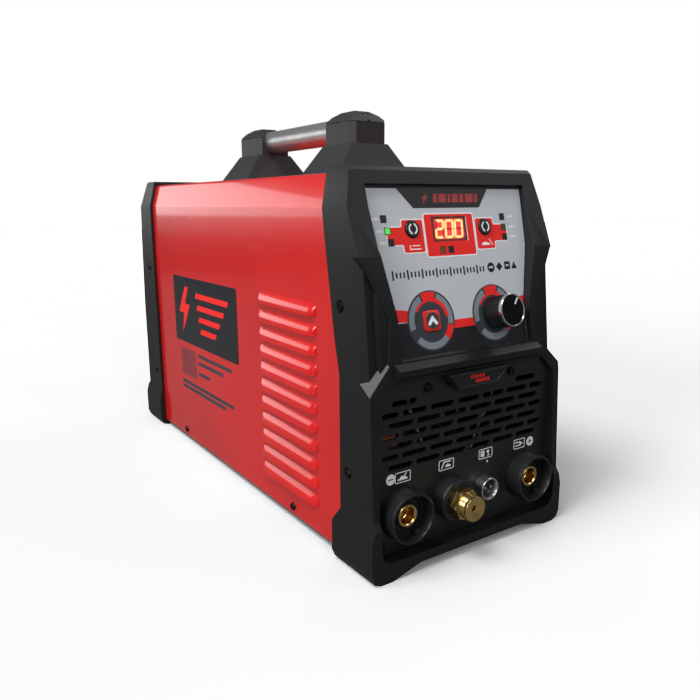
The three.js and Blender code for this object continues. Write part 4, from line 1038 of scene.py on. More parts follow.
@dataclass(frozen=True)
class Case:
    """Folded steel cover over a folded base."""

    sizes: CaseSizes = CaseSizes()

    def build(self) -> None:
        """Build every piece of the case."""
        self.cover()
        self.shade_sheet()
        for name, place in (("left", LEFT), ("right", RIGHT)):
            self.louvres(name, place)
            self.sticker(name, place)
            self.screws(name, place)
        self.base()

    def _rows(self) -> list[float]:
        """Heights of the louvre rows."""
        z = self.sizes
        return [z.louvre_first + i * z.louvre_pitch for i in range(z.louvre_rows)]

    def cover(self) -> None:
        """Build the cover with its bend radii and the slots behind the louvres."""
        z = self.sizes
        right = [(z.half, z.low), (z.half, z.shoulder), (z.top_half, z.top)]
        path = bent(right + mirrored(right), z.bend)
        section = thick(path, z.sheet)
        shell = Form(FRONT).stack([(section, -z.rear), (section, -z.plain), (section, -z.front)])
        slope = (z.front_top - z.front) / (z.top - z.knee)
        shell.shift(lambda p: p if p.z <= -z.plain else Vector(
            (p.x, p.y, -z.front - slope * max(0.0, p.y - z.knee))))
        reach = z.louvre_half - z.slot_margin
        cutter = Form(FRONT).plate(rectangle(-3, 3, -z.slot_half, z.slot_half), -reach, reach)
        middle = z.half - z.sheet / 2
        spots = [(side * middle, row - 0.6, -z.louvre_middle) for row in self._rows() for side in (-1, 1)]
        cut = grown(Pattern.HOLES, shell.mesh(), cutter, Spots=spots, Finish=dressed(RED))
        Form(FRONT).absorb(cut).stand_in("cover", RED, "red_paint", angle=40.0)

    def shade_sheet(self) -> None:
        """Build the black sheet inside the cover, which puts painted shade behind the louvre slots."""
        z = self.sizes
        inset = z.sheet + z.shade_sheet_gap
        right = [(z.half - inset, z.shade_sheet_foot), (z.half - inset, z.shoulder),
                 (z.top_half - inset, z.top - inset)]
        path = bent(right + mirrored(right), z.bend)
        section = thick(path, z.shade_sheet)
        # painted shade: this black sheet darkens the inside that shows through the slots
        sheet = Form(FRONT).stack([(section, 8 - z.rear), (section, -z.front_top - 2)])
        for side in (-1, 1):
            strip = rectangle(z.half - inset - 0.4, z.half - inset - 0.1, z.shade_sheet_foot, 176)
            sheet.plate([(side * u, v) for u, v in strip], -z.front_top - 2.3, -34.5)
        sheet.piece("inner_liner", SATIN_BLACK, "black_plastic", angle=40.0)

    def louvres(self, side: str, place: Matrix) -> None:
        """Build the row of pressed louvre hoods on one side."""
        z = self.sizes
        half, rise, proud = z.louvre_half, z.louvre_rise, z.louvre_proud
        columns = [-half, -half + 1.2, -half + 3.5, -half + 7, half - 7, half - 3.5, half - 1.2, half]
        levels = [(rise + 0.4, 0.0), (rise * 0.8, 1.0), (rise * 0.3, 2.35), (-rise * 0.35, 3.15),
                  (-rise, proud)]
        points: list[tuple[float, float, float]] = []
        for skin in (0.0, z.louvre_sheet):
            for u in columns:
                share = max(0.0, (abs(u) - half + 7) / 7)
                fade = math.sqrt(max(0.0, 1 - share * share))
                for v, w in levels:
                    drop = v * (1 - 0.12 * share)
                    points.append((u, drop, w * fade - skin - 0.1))
        wide, tall = len(columns), len(levels)
        faces: list[tuple[int, ...]] = []
        for layer in (0, wide * tall):
            for i in range(wide - 1):
                for j in range(tall - 1):
                    a = layer + i * tall + j
                    faces.append((a, a + 1, a + tall + 1, a + tall))
        rim = [i * tall for i in range(wide)] + [(wide - 1) * tall + j for j in range(1, tall)]
        rim += [i * tall + tall - 1 for i in range(wide - 2, -1, -1)] + [j for j in range(tall - 2, 0, -1)]
        for a, b in zip(rim, rim[1:] + rim[:1]):
            faces.append((a, b, b + wide * tall, a + wide * tall))
        hood = Form(place)
        hood.add_faces(points, faces)
        centre = z.louvre_middle if side == "right" else -z.louvre_middle
        row = grown(Pattern.ROW, None, hood, Count=z.louvre_rows, Start=(centre, z.louvre_first, z.half),
                    Step=(0.0, z.louvre_pitch, 0.0), Finish=dressed(RED))
        Form(place).absorb(row).piece(f"louvres_{side}", RED, "red_paint", angle=50.0)

    def sticker(self, side: str, place: Matrix) -> None:
        """Build the glossy side plate with its plain spark mark and bars."""
        z = self.sizes
        u0, u1, v0, v1 = z.sticker
        sign = 1 if side == "right" else -1
        middle = sign * (u0 + u1) / 2
        face = z.half
        plate = rounded(middle, (v0 + v1) / 2, (u1 - u0) / 2, (v1 - v0) / 2, 2.0)
        Form(place).plate(plate, face + 0.02, face + 0.16).piece(
            f"side_plate_{side}", STICKER, "overlay_film", bevel=0.04, segments=1)
        mark = Form(place)
        low, high = face + 0.16, face + 0.2
        bolt = [(2, 22), (-15, -3), (-3, -3), (-8, -22), (13, 6), (1, 6), (10, 22)]
        mark.plate(moved(bolt, middle - 44, (v0 + v1) / 2), low, high)
        for index, (length, level) in enumerate(((70.0, 16.0), (58.0, 5.5), (46.0, -5.0), (34.0, -15.5))):
            start = middle - 18 + index * 3
            bar = [(start, level - 2.4), (start + length, level - 2.4), (start + length + 3, level + 2.4),
                   (start + 3, level + 2.4)]
            mark.plate([(u, (v0 + v1) / 2 + v) for u, v in bar], low, high)
        mark.piece(f"side_mark_{side}", RED_INK, "overlay_film")
        bars = Form(place)
        widths = (1.6, 0.8, 2.6, 1.0, 1.6, 3.2, 0.9, 2.0, 1.2, 2.8, 0.9, 1.6)
        at = middle - 60
        for width in widths:
            bars.plate(rectangle(at, at + width, v0 - 32, v0 - 6), face + 0.02, face + 0.06)
            at += width + 1.5
        lines = ((-10, -18, 56), (-17, -18, 38), (-27, -18, 8), (-41, -60, 58), (-46, -60, 40))
        for level, start, end in lines:
            stroke = rectangle(middle + start, middle + end, v0 + level, v0 + level + 3.2)
            bars.plate(stroke, face + 0.02, face + 0.06)
        bars.piece(f"side_bars_{side}", DARK_INK, "overlay_film")

    def screws(self, side: str, place: Matrix) -> None:
        """Build the screws that hold the cover and the frames on one side."""
        sign = 1 if side == "right" else -1
        z = self.sizes
        spots = [(sign * y, h, z.screw_seat) for y, h in z.frame_screws]
        nodes = [f"{where}_screw_{side}_{level}" for where in ("front", "rear")
                 for level in ("upper", "lower")]
        screw_set(f"frame_screws_{side}", place, spots, cross_screw(), nodes)
        low = [(sign * y, h, z.half) for y, h in z.cover_screws]
        screw_set(f"cover_screws_{side}", place, low, cross_screw(3.0, 1.6, 1.5, 2.4))

    def base(self) -> None:
        """Build the folded base plate."""
        from_cad("base_plate", TOP, ZINC, "plated_steel", bevel=0.25, segments=1)


# ---------- End frames ----------
@dataclass(frozen=True)
class FrameSizes:
    """Sizes of the end frames' broken edges, in millimetres."""

    edge: float = 1.6
    badge_front: float = 0.5
    badge_middle: float = 1.5


@dataclass(frozen=True)
class EndFrames:
    """Moulded front and rear frames with the name plate's blank shield."""

    sizes: FrameSizes = FrameSizes()

    def build(self) -> None:
        """Build both frames and the shield."""
        for name in ("front_bezel", "rear_bezel"):
            from_cad(name, FRONT, BLACK, "black_plastic", bevel=self.sizes.edge, segments=3, angle=20.0)
        from_cad("front_badge", FRONT, SATIN_BLACK, "black_plastic", bevel=0.3)
        self.badge_mark()

    def badge_mark(self) -> None:
        """Build the plain red bars on the shield."""
        z = self.sizes
        mark = Form(FRONT)
        low = z.badge_front - 0.8
        for start, end, level in ((-7.5, 4.5, 119.4), (-3.0, 9.5, 116.2)):
            at = z.badge_middle + start
            while at < z.badge_middle + end:
                mark.plate(rectangle(at, at + 1.5, level, level + 2.3), low, low + 0.08)
                at += 2.5
        mark.piece("badge_mark", RED_INK, "overlay_film")


# ---------- Control panel ----------
@dataclass(frozen=True)
class PanelSizes:
    """Sizes of the control panel, in millimetres up the leaning face."""

    top: float = 84.2
    mid: float = 44.6
    waist: float = 3.5
    bottom: float = -22.2
    top_half: float = 66.5
    mid_half: float = 65.6
    low_half: float = 56.2
    display: tuple[float, float, float, float] = (-2.0, 56.9, 30.0, 16.0)
    dial: float = 27.0
    modes: tuple[float, float] = (-33.0, 28.7)
    mode_v: float = 57.4
    button_radius: float = 5.4
    button_proud: float = 1.3
    select: float = 13.2
    knob_radius: float = 10.8
    knob_start: float = 1.0
    ring_width: float = 1.0
    ribs: int = 36
    pointer: float = 36.0
    ink: float = 0.035
    digit_width: float = 5.9
    digit_height: float = 10.6
    digit_line: float = 1.35
    digit_shear: float = 0.09
    digit_pitch: float = 8.1


SEGMENT_KEYS = "agdbcfe"
SEGMENTS = {"0": "abcdef", "2": "abged"}


@dataclass(frozen=True)
class ControlPanel:
    """Leaning film panel with display, buttons, dial prints and knob."""

    sizes: PanelSizes = PanelSizes()

    def build(self) -> None:
        """Build every piece of the control panel."""
        self.overlay()
        self.prints()
        self.flags()
        self.scale_line()
        self.dials()
        self.display()
        self.buttons()
        self.knob()

    def _half(self, v: float) -> float:
        """Half the panel's width at a place up the panel."""
        z = self.sizes
        if v >= z.mid:
            return z.mid_half + (z.top_half - z.mid_half) * (v - z.mid) / (z.top - z.mid)
        if v >= z.waist:
            return z.low_half + (z.mid_half - z.low_half) * (v - z.waist) / (z.mid - z.waist)
        return z.low_half

    def _print(self, name: str, finish: Any, outlines: Iterable[Outline], layer: int,
               holes: Sequence[Outline] = ()) -> None:
        """Lay printed shapes on the film.

        Args:
            name: the piece's name.
            finish: its ink.
            outlines: the shapes.
            layer: how many prints lie under it.
            holes: holes in the first shape.
        """
        form = Form(PANEL)
        step = self.sizes.ink
        for index, outline in enumerate(outlines):
            form.plate(outline, layer * step + INK_LIFT, (layer + 1) * step, holes if index == 0 else ())
        form.piece(name, finish, "overlay_film")

    def overlay(self) -> None:
        """Build the grey film with its cut-outs."""
        from_cad("control_overlay", PANEL, GREY_FILM, "overlay_film", bevel=0.12, segments=1)

    def prints(self) -> None:
        """Lay the black lower field, the red stripe and the dark top tab, whose thin band along the top edge
        is partly print and partly painted shadow under the frame's top.
        """
        z = self.sizes
        edge = 0.2
        near, far = z.dial - 16.4, z.dial + 16.4
        half = [(self._half(0) - edge, 0.6), (far, 0.4), (far - 2, -9), (near + 2, -9), (near, -4.8),
                (9, -6.5)]
        low = [(-z.low_half + edge, z.bottom + edge), (z.low_half - edge, z.bottom + edge), *half,
               *mirrored(half)]
        self._print("film_black_field", BLACK_FILM, [low], 0)
        middle = [(-near, -4.9), (-9, -6.5), (9, -6.5), (near, -4.9), (near, 0.8), (9, -1.2), (-9, -1.2),
                  (-near, 0.8)]
        side = [(far, 0.4), (self._half(2) - edge, 1.6), (self._half(9) - edge, 9.6), (far, 7.6)]
        other = mirrored(side)
        self._print("film_red_stripe", RED_INK, [middle, side, other], 1)
        rim, brow = self._half(84) - edge, self._half(83) - edge
        # the tab runs on as a thin black band along the film's top edge: partly print, partly painted shadow
        # of the frame's top
        tab_and_shadow_band = [(-30, 70.3), (26, 70.3), (35.5, 82.6), (brow, 82.6), (rim, 84), (-rim, 84), (-brow, 82.6),
               (-41.5, 82.6)]
        self._print("film_top_tab", BLACK_FILM, [tab_and_shadow_band], 1)
        bolt = [(3.2, 4), (-2.6, -0.6), (-0.2, -0.6), (-2.8, -4.6), (3.0, 0.9), (0.5, 0.9)]
        marks = [moved(bolt, -20, 76.6)]
        start, low, high, slant = -13.0, 73.8, 79.4, 0.6
        for length in (3.0, 6.5, 2.2, 5.0, 3.5, 7.0, 2.5):
            end = start + length
            marks.append([(start, low), (end, low), (end + slant, high), (start + slant, high)])
            start = end + 1.4
        self._print("film_top_mark", Film("dull_red_ink", (0.36, 0.04, 0.04), 0.4), marks, 2)

    def flags(self) -> None:
        """Lay the display card and the two mode flags with their lamps."""
        z = self.sizes
        card = rounded(-2, 53.05, 21.5, 14.15, 2.0)
        inner = rounded(-2, 53.05, 20.6, 13.25, 1.4)
        u, v, wide, tall = z.display
        window = rectangle(u - wide / 2, u + wide / 2, v - tall / 2, v + tall / 2)
        self._print("card_outline", WHITE_INK, [card], 1, [window])
        self._print("card", RED_INK, [inner], 2, [window])
        ticks = [rectangle(-10.8, -10.2, 41.6, 45.6), rectangle(-3.2, -2.6, 42.6, 45.2)]
        self._print("card_ticks", BLACK_FILM, ticks, 3)
        for side, sign, button in (("left", -1, z.modes[0]), ("right", 1, z.modes[1])):
            hole = circle(button, z.mode_v, z.button_radius + 0.3, 24)
            for grow, finish, layer, kind in ((0.0, WHITE_INK, 1, "outline"), (0.75, RED_INK, 2, "flag")):
                near, far = (23.6, 41.6) if sign < 0 else (19.8, 37.4)
                tip = 53.2 if sign < 0 else 49.6
                shape = [(near + grow, 42.2 + grow), (far - grow, 42.2 + grow), (far - grow, 47.2 + grow),
                         (tip - grow, 47.2 + grow), (tip - grow, 59.4 - grow), (far - grow, 59.4 - grow),
                         (far - grow, 63.8 - grow), (near + grow, 63.8 - grow)]
                outline = self._soften([(sign * a, b) for a, b in shape], 1.3)
                self._print(f"mode_{kind}_{side}", finish, [outline], layer, [hole])
            white = [rectangle(button - 3.5, button + 5.5, 44.6, 45.3),
                     rectangle(button - 3.5, button - 2.8, 45.3, 47.6),
                     rectangle(button - 1.5, button + 5.0, 46.8, 47.4)]
            if sign > 0:
                white = [[(button - 4, 45.2), (button + 3, 45.2), (button + 3, 46.4), (button - 1, 47.4),
                          (button - 4, 46.6)],
                         moved(rectangle(-2.6, 2.6, -0.3, 0.3), button + 4.4, 47.0, -55)]
            self._print(f"mode_sign_{side}", WHITE_INK, white, 3)
        lamps = ((-54.0, 64.0, LAMP_OFF), (-52.0, 56.6, GREEN_ON), (-50.4, 49.6, LAMP_OFF),
                 (46.0, 63.9, LAMP_OFF), (46.4, 56.9, GREEN_DIM), (46.6, 50.2, LAMP_OFF),
                 (-10.0, 43.6, AMBER_DIM), (-3.0, 43.6, LAMP_OFF))
        bezels, inner, outer = [], 1.85, 2.3
        for index, (a, b, finish) in enumerate(lamps):
            bezels.append(rectangle(a - outer, a + outer, b - outer, b + outer))
            lens = rectangle(a - inner, a + inner, b - inner, b + inner)
            self._print(f"lamp_{index + 1}", finish, [lens], 4)
        self._print("lamp_frames", BLACK_FILM, bezels, 3)
        words = []
        strokes = ((0, 1.1), (1.7, 2.9), (3.5, 4.4))
        for a, b in ((-62.5, 64.0), (-60.4, 56.6), (-58.6, 49.6), (51.8, 63.9), (52.2, 56.9), (52.4, 50.2)):
            words += [rectangle(a + start, a + end, b - 0.7, b + 0.7) for start, end in strokes]
        self._print("lamp_words", WHITE_INK, words, 1)

    @staticmethod
    def _soften(outline: Outline, radius: float) -> Outline:
        """The closed outline with its corners rounded."""
        loop = list(outline)
        start = ((loop[0][0] + loop[-1][0]) / 2, (loop[0][1] + loop[-1][1]) / 2)
        return bent([start] + loop + [start], radius, 3)[:-1]

    def scale_line(self) -> None:
        """Lay the line of dark ticks between the display and the dials."""
        marks = []
        for index in range(27):
            u = -53 + index * 2.9
            tall = 2.9 if index % 4 == 0 else 1.7
            marks.append(rectangle(u, u + 1.25, 29.6 - tall, 29.6 + tall))
        self._print("scale_ticks", BLACK_FILM, marks, 1)
        signs = [circle(30.0, 30.2, 3.3, 24), moved(rectangle(-2.1, 2.1, -2.1, 2.1), 37.8, 30.4, 45),
                 rounded(45.4, 30.7, 2.7, 2.7, 0.8), [(49.2, 28.2), (54.6, 28.4), (51.9, 33.2)]]
        self._print("scale_signs", BLACK_FILM, signs, 1)
        self._print("scale_cuts", GREY_FILM, [rectangle(28.2, 31.8, 29.6, 30.9),
                                              rectangle(44.0, 46.8, 30.2, 31.4)], 2)

    def dials(self) -> None:
        """Lay the ring prints round the select button and the knob."""
        z = self.sizes
        for side, u in (("left", -z.dial), ("right", z.dial)):
            hole = [rounded(u, 0, 6.9, 6.9, 2.5)] if side == "left" else [circle(u, 0, 3.4, 24)]
            self._print(f"dial_disc_{side}", DARK_INK, [circle(u, 0, 19.0, 56)], 2, hole)
            grey = [band(u, 0, 13.6, 17.8, 116, 196), band(u, 0, 13.6, 17.8, 222, 318),
                    band(u, 0, 13.6, 17.8, -12, 68)]
            self._print(f"dial_segments_{side}", PALE_INK, grey, 3)
            red = [band(u, 0, 13.4, 18.2, 73, 111), band(u, 0, 12.0, 14.6, 8, 76),
                   band(u, 0, 13.4, 18.2, -46, -14), band(u, 0, 12.0, 13.4, 76, 150)]
            self._print(f"dial_red_{side}", RED_INK, red, 4)
        self._print("dial_inner_left", DARK_INK, [circle(-z.dial, 0, 11.4, 40)], 5,
                    [rounded(-z.dial, 0, 6.9, 6.9, 2.5)])

    def _segment(self, key: str) -> tuple[Outline, Outline]:
        """Outlines of a digit's bar and of the wider glow behind it."""
        z = self.sizes
        wide, half, line = z.digit_width, z.digit_height / 2, z.digit_line / 2
        if key in "agd":
            v = {"a": half, "g": 0.0, "d": -half}[key]
            low, high = 0.6, wide - 0.6
            bar = [(low, v), (low + 0.5, v - line), (high - 0.5, v - line), (high, v), (high - 0.5, v + line),
                   (low + 0.5, v + line)]
            return bar, rectangle(low - 1.0, wide + 0.4, v - 1.05, v + 1.05)
        u = wide if key in "bc" else 0.0
        low = 0.5 if key in "bf" else 0.5 - half
        high = low + half
        bar = [(u - line, low), (u, low - 0.45), (u + line, low), (u + line, high - 1), (u, high - 0.55),
               (u - line, high - 1)]
        return bar, rectangle(u - 1.05, u + 1.05, low - 1.0, high)

    def display(self) -> None:
        """Build the smoked window, the display body and its lit digits, with painted glow on the field, round
        the lit digits and on the unlit segments.
        """
        z = self.sizes
        u, v, wide, tall = z.display
        pane = rectangle(u - wide / 2 + 0.3, u + wide / 2 - 0.3, v - tall / 2 + 0.3, v + tall / 2 - 0.3)
        Form(PANEL).plate(pane, -1.0, -0.12).stand_in("display_window", SMOKED, "smoked_window")
        from_cad("display_module", PANEL, SATIN_BLACK, "display_black", bevel=0.2)
        # painted glow: the field behind the window and the plate round the digits emit red light though they
        # are no lamps
        Form(PANEL).plate(pane, -1.3, -1.285).piece("display_field", DISPLAY_FIELD_PAINTED_GLOW, "display_black")
        glow = rounded(u + 0.9, v + 0.2, 12.4, 6.4, 2.0)
        Form(PANEL).plate(glow, -1.28, -1.255).piece("display_glow", DISPLAY_GLOW, "display_black")
        lit, unlit_glow, halo = Form(PANEL), Form(PANEL), Form(PANEL)
        for index, digit in enumerate("200"):
            left = u - 10.4 + index * z.digit_pitch
            for key in SEGMENT_KEYS:
                shape, around = [[(left + a + b * z.digit_shear, v + 0.2 + b) for a, b in outline]
                                 for outline in self._segment(key)]
                # halos round the lit bars are painted glow, and the unlit bars glow red as painted glow too
                if key in SEGMENTS[digit]:
                    halo.plate(around, -1.25, -1.216)
                    lit.plate(shape, -1.2, -1.06)
                else:
                    unlit_glow.plate(shape, -1.2, -1.06)
        halo.piece("display_halo", DIGIT_HALO, "display_black")
        lit.piece("display_digits", DIGIT, "display_black")
        unlit_glow.piece("display_dark_segments", UNLIT_DIGIT_PAINTED_GLOW, "display_black")

    def buttons(self) -> None:
        """Build the two mode buttons and the select button with their marks."""
        z = self.sizes
        top = z.button_proud
        for side, u in zip(("left", "right"), z.modes):
            body = f"mode_button_{side}"
            r = z.button_radius
            profile = [(0, -7.3), (r, -7.3), (r, top - 0.6), (r - 0.25, top - 0.25), (r - 0.7, top - 0.05),
                       (r - 1.2, top - 0.08), (0, top - 0.14)]
            Form(PANEL).lathe(profile, (u, z.mode_v), 36).stand_in(
                body, KNOB_BLACK, "button_black", body=body)
            mark = Form(PANEL)
            for start in (110, 290):
                mark.plate(band(u, z.mode_v, 2.5, 3.5, start, start + 130), top - 0.12, top - 0.06)
                angle = math.radians(start + 130)
                mark.plate(arrow_head(u + 3.0 * math.cos(angle), z.mode_v + 3.0 * math.sin(angle),
                                      start + 130 + 90, 1.3), top - 0.12, top - 0.06)
            mark.piece(f"mode_arrows_{side}", WHITE_INK, "button_black", body)
        u, half = -z.dial, z.select / 2
        layers = [(rounded(u, 0, half, half, 2.4), -7.3), (rounded(u, 0, half, half, 2.4), top - 0.55),
                  (rounded(u, 0, half - 0.2, half - 0.2, 2.2), top - 0.2),
                  (rounded(u, 0, half - 0.7, half - 0.7, 1.8), top - 0.02)]
        Form(PANEL).stack(layers).stand_in("select_button", BUTTON_RED, "button_red", body="select_button")
        Form(PANEL).plate(circle(u, 0, 5.2, 36), top - 0.1, top - 0.005).piece(
            "select_disc", DARK_INK, "button_red", "select_button")
        chevron = [(-4.2, -2.0), (-2.6, -3.4), (0, -0.5), (2.6, -3.4), (4.2, -2.0), (0, 3.2)]
        Form(PANEL).plate(moved(chevron, u, 0.2), top - 0.05, top).piece(
            "select_chevron", WHITE_INK, "button_red", "select_button")

    def knob(self) -> None:
        """Build the ribbed current knob, its bright ring, face, pointer and shaft."""
        z = self.sizes
        centre = (z.dial, 0.0)
        radius = z.knob_radius
        core = radius - 0.55
        face = radius - z.ring_width - 0.05
        profile = [(3.3, z.knob_start), (core, z.knob_start), (core, 15.2), (face, 15.3), (face, 17.0),
                   (face - 0.5, 17.25), (0, 17.25), (0, 13.3)]
        barrel = Form(PANEL).lathe(profile, centre, 64)
        rib = Form(PANEL).plate([(-0.6, -0.32), (0.42, -0.2), (0.5, 0), (0.42, 0.2), (-0.6, 0.32)], 0, 13.6)
        ring = grown(Pattern.RING, None, rib, Count=z.ribs, Radius=core, Finish=dressed(KNOB_BLACK))
        ribs = Form(PANEL).absorb(ring).shift(lambda p: Vector((p.x + z.dial, p.y, p.z + z.knob_start + 0.3)))
        ribs.piece("knob_ribs", KNOB_BLACK, "button_black", "knob", angle=60.0)
        barrel.stand_in("current_knob", KNOB_BLACK, "button_black", body="knob")
        rim = [(radius - 1.0, 15.4), (radius, 15.4), (radius, 17.4), (radius - 0.25, 17.72),
               (radius - 0.75, 17.72), (radius - 1.0, 17.4)]
        Form(PANEL).lathe(rim, centre, 72).stand_in("knob_ring", CHROME, "chrome", body="knob")
        Form(PANEL).rod(face - 0.15, 17.2, 17.32, centre, 56).piece(
            "knob_face", SPUN_BLACK, "button_black", "knob")
        line = moved(rectangle(-0.5, 0.5, face * 0.45, face - 0.25), 0, 0, -z.pointer)
        Form(PANEL).plate(moved(line, *centre), 17.3, 17.4).piece(
            "knob_pointer", WHITE_INK, "button_black", "knob")
        from_cad("knob_shaft", PANEL, NICKEL, "nickel", body="knob")


# ---------- Socket panel ----------
@dataclass(frozen=True)
class SocketSizes:
    """Sizes of the lower front, in millimetres."""

    face: float = -8.0
    thick: float = 2.5
    half: float = 77.0
    low: float = 12.5
    corner: float = 8.0
    side: float = 112.0
    top_half: float = 66.0
    top: float = 123.6
    gap: float = 0.3
    rows: int = 7
    top_row: float = 110.0
    row_pitch: float = 6.75
    slot_pitch: float = 22.4
    slot: float = 19.4
    slot_height: float = 3.6
    stagger: float = 4.6
    inset: float = 2.9
    socket_x: float = 55.0
    socket_z: float = 38.8
    torch: tuple[float, float] = (-15.0, 39.3)
    trigger: tuple[float, float] = (15.0, 39.3)
    socket_hole: float = 11.4
    torch_hole: float = 8.9
    trigger_hole: float = 7.4
    wire: float = 1.1
    face_screws: tuple[Point, ...] = ((-34.9, 116.6), (-70.5, 20.5), (70.5, 20.5), (37.9, 116.6))

    @property
    def print_levels(self) -> tuple[float, float]:
        """Levels between which a print lies on the face."""
        return self.face + INK_LIFT, self.face + 0.07


@dataclass(frozen=True)
class SocketPanel:
    """Air grille, weld sockets, torch connector and trigger socket."""

    sizes: SocketSizes = SocketSizes()

    def build(self) -> None:
        """Build every piece of the lower front."""
        self.panel()
        self.signs()
        for name, x in (("negative", -self.sizes.socket_x), ("positive", self.sizes.socket_x)):
            self.weld_socket(name, x)
        self.torch()
        self.trigger()
        self.screws()
        self.wires()

    def panel(self) -> None:
        """Build the plate and cut its slots."""
        z = self.sizes
        g, c = z.gap, z.corner
        right = [(z.half - c, z.low + g), (z.half - c * 0.3 - g * 0.7, z.low + c * 0.3 + g * 0.7),
                 (z.half - g, z.low + c), (z.half - g, z.side), (z.top_half - g * 0.4, z.top - g)]
        outline = right + mirrored(right)
        holes = [circle(side * z.socket_x, z.socket_z, z.socket_hole, 24) for side in (-1, 1)]
        holes += [circle(*z.torch, z.torch_hole, 24), circle(*z.trigger, z.trigger_hole, 24)]
        plate = Form(FRONT).plate(outline, z.face - z.thick, z.face, holes)
        full, short = [], []
        reach = 2.5 * z.slot_pitch + z.slot / 2 + z.stagger
        for row in range(z.rows):
            level = z.top_row - row * z.row_pitch
            count = 7 if row % 2 else 6
            for index in range(count):
                u = (index - (count - 1) / 2) * z.slot_pitch
                if row == 0 and 0 < index < count - 1:
                    continue
                if row == 0:
                    u -= math.copysign(z.inset, u)
                if abs(u) + z.slot / 2 > reach + 0.1:
                    inner = abs(u) - z.slot / 2
                    short.append((math.copysign((reach + inner) / 2, u), level, z.face - z.thick / 2))
                else:
                    full.append((u, level, z.face - z.thick / 2))
        tall = z.slot_height / 2
        short_half = (reach - (3 * z.slot_pitch - z.slot / 2)) / 2
        mesh = plate.mesh()
        for half, spots in ((z.slot / 2, full), (short_half, short)):
            cutter = Form(FRONT).plate(rounded(0, 0, half, tall, tall * 0.95, 3), -3, 3)
            mesh = grown(Pattern.HOLES, mesh, cutter, Spots=spots, Finish=dressed(SATIN_BLACK))
        Form(FRONT).absorb(mesh).piece(
            "socket_panel", SATIN_BLACK, "panel_plastic", replaces=["socket_panel"], bevel=0.22, segments=1)

    def _frame(self, form: Form, u: float, v: float, wide: float, tall: float) -> None:
        """Add a rounded outline of a sign."""
        form.plate(rounded(u, v, wide / 2, tall / 2, 1.2), *self.sizes.print_levels,
                   [rounded(u, v, wide / 2 - 0.55, tall / 2 - 0.55, 0.75)])

    def signs(self) -> None:
        """Lay the plain white symbols above the sockets."""
        low, high = self.sizes.print_levels
        level = 62.0
        form = Form(FRONT)
        minus = rectangle(-65.5, -61.5, level - 0.2, level + 0.6)
        form.plate(circle(-63.5, level + 0.2, 3.55, 28), low, high, [minus])
        cross = []
        for quarter in range(4):
            cross += moved([(0.4, -0.4), (2.2, -0.4), (2.2, 0.4)], 0, 0, 90 * quarter)
        form.plate(circle(61.1, level - 0.3, 3.4, 28), low, high, [moved(cross, 61.1, level - 0.3)])
        for u, wide in ((-54.0, 12.4), (-18.1, 13.0), (17.3, 12.8), (50.2, 11.2)):
            self._frame(form, u, level, wide, 7.2)
        torch = [(-4.2, -1.9), (3.6, -1.9), (3.6, -0.9), (1.2, 0.6), (-1.6, 0.6), (-2.6, -0.8), (-4.2, -0.8)]
        form.plate(moved(torch, -54.0, level), low, high)
        form.plate(moved(rectangle(-0.35, 0.35, -1.3, 1.3), -52.0, level + 1.5, -40), low, high)
        neck = [(-4.4, -2.2), (-3.5, -2.2), (-1.8, 1.4), (3.8, 1.4), (3.8, 2.3), (-2.4, 2.3)]
        shoe = [(-0.8, -1.8), (3.8, -1.8), (3.8, -0.9), (1.0, 0.4), (-0.8, -0.9)]
        for shape in (neck, shoe):
            form.plate(moved(shape, -18.1, level), low, high)
        form.plate(rounded(14.5, level, 1.7, 2.1, 0.5), low, high,
                   [rectangle(13.8, 15.2, level + 0.2, level + 0.9)])
        form.plate(circle(19.5, level + 0.9, 1.2, 16), low, high)
        hook = [(-0.4, -1.2), (1.2, -1.2), (1.2, 0.4), (0.4, 0.4), (0.4, -0.4), (-0.4, -0.4)]
        form.plate(moved(hook, 19.5, level - 1), low, high)
        clamp = [(-3.8, -1.6), (1.6, -1.6), (2.6, -0.4), (4, -0.4), (4, 0.4), (2.6, 0.4), (1.6, 1.6),
                 (-3.8, 1.6), (-3.8, 0.8), (0.8, 0.8), (0.8, -0.8), (-3.8, -0.8)]
        form.plate(moved(clamp, 49.8, level), low, high)
        form.plate(circle(19.1, 56.0, 0.7, 12), low, high)
        form.piece("socket_signs", WHITE_INK, "overlay_film")

    def weld_socket(self, name: str, x: float) -> None:
        """Build one weld socket: collar, brass insert and its busbar."""
        z = self.sizes
        at = (x, z.socket_z)
        outer, inner = 16.8, 14.6
        front, floor = 5.0, -4.0
        collar = [(inner, floor), (inner + 0.1, front - 0.8), (inner + 0.5, front), (outer - 0.8, front),
                  (outer - 0.3, front - 0.3), (outer - 0.15, front - 0.9), (outer, front - 3.4),
                  (outer, -7.9),
                  (11, -7.9), (11, -14), (7.8, -14), (7.8, -5.2), (8.8, -5.0), (9.2, floor), (10.4, floor),
                  (10.7, -5.4), (12.4, -5.4), (12.7, floor)]
        Form(FRONT).lathe(collar, at, 72).stand_in(f"{name}_socket_collar", SATIN_BLACK, "panel_plastic")
        lug = Form(FRONT)
        for turn in (60, 180, 300):
            lug.plate(moved(band(0, 0, 12.6, 15.0, -9, 9), *at, turn), floor - 0.3, floor + 4.5)
        lug.piece(f"{name}_socket_keys", SATIN_BLACK, "panel_plastic", bevel=0.3, segments=1)
        bore = 5.5
        insert = [(bore, -16), (bore, -9), (bore + 0.25, -8.8), (bore + 0.25, -7.8), (bore, -7.6),
                  (bore, -1.5),
                  (bore + 0.55, -1.0), (7.05, -1.0), (7.45, -1.4), (7.5, -21.7), (0, -21.7), (0, -16)]
        Form(FRONT).lathe(insert, at, 56).stand_in(
            f"{name}_socket_insert", brass(f"{name}_socket_brass", *at), "brass")
        from_cad(f"{name}_busbar", RIGHT, COPPER, "copper", bevel=0.5)
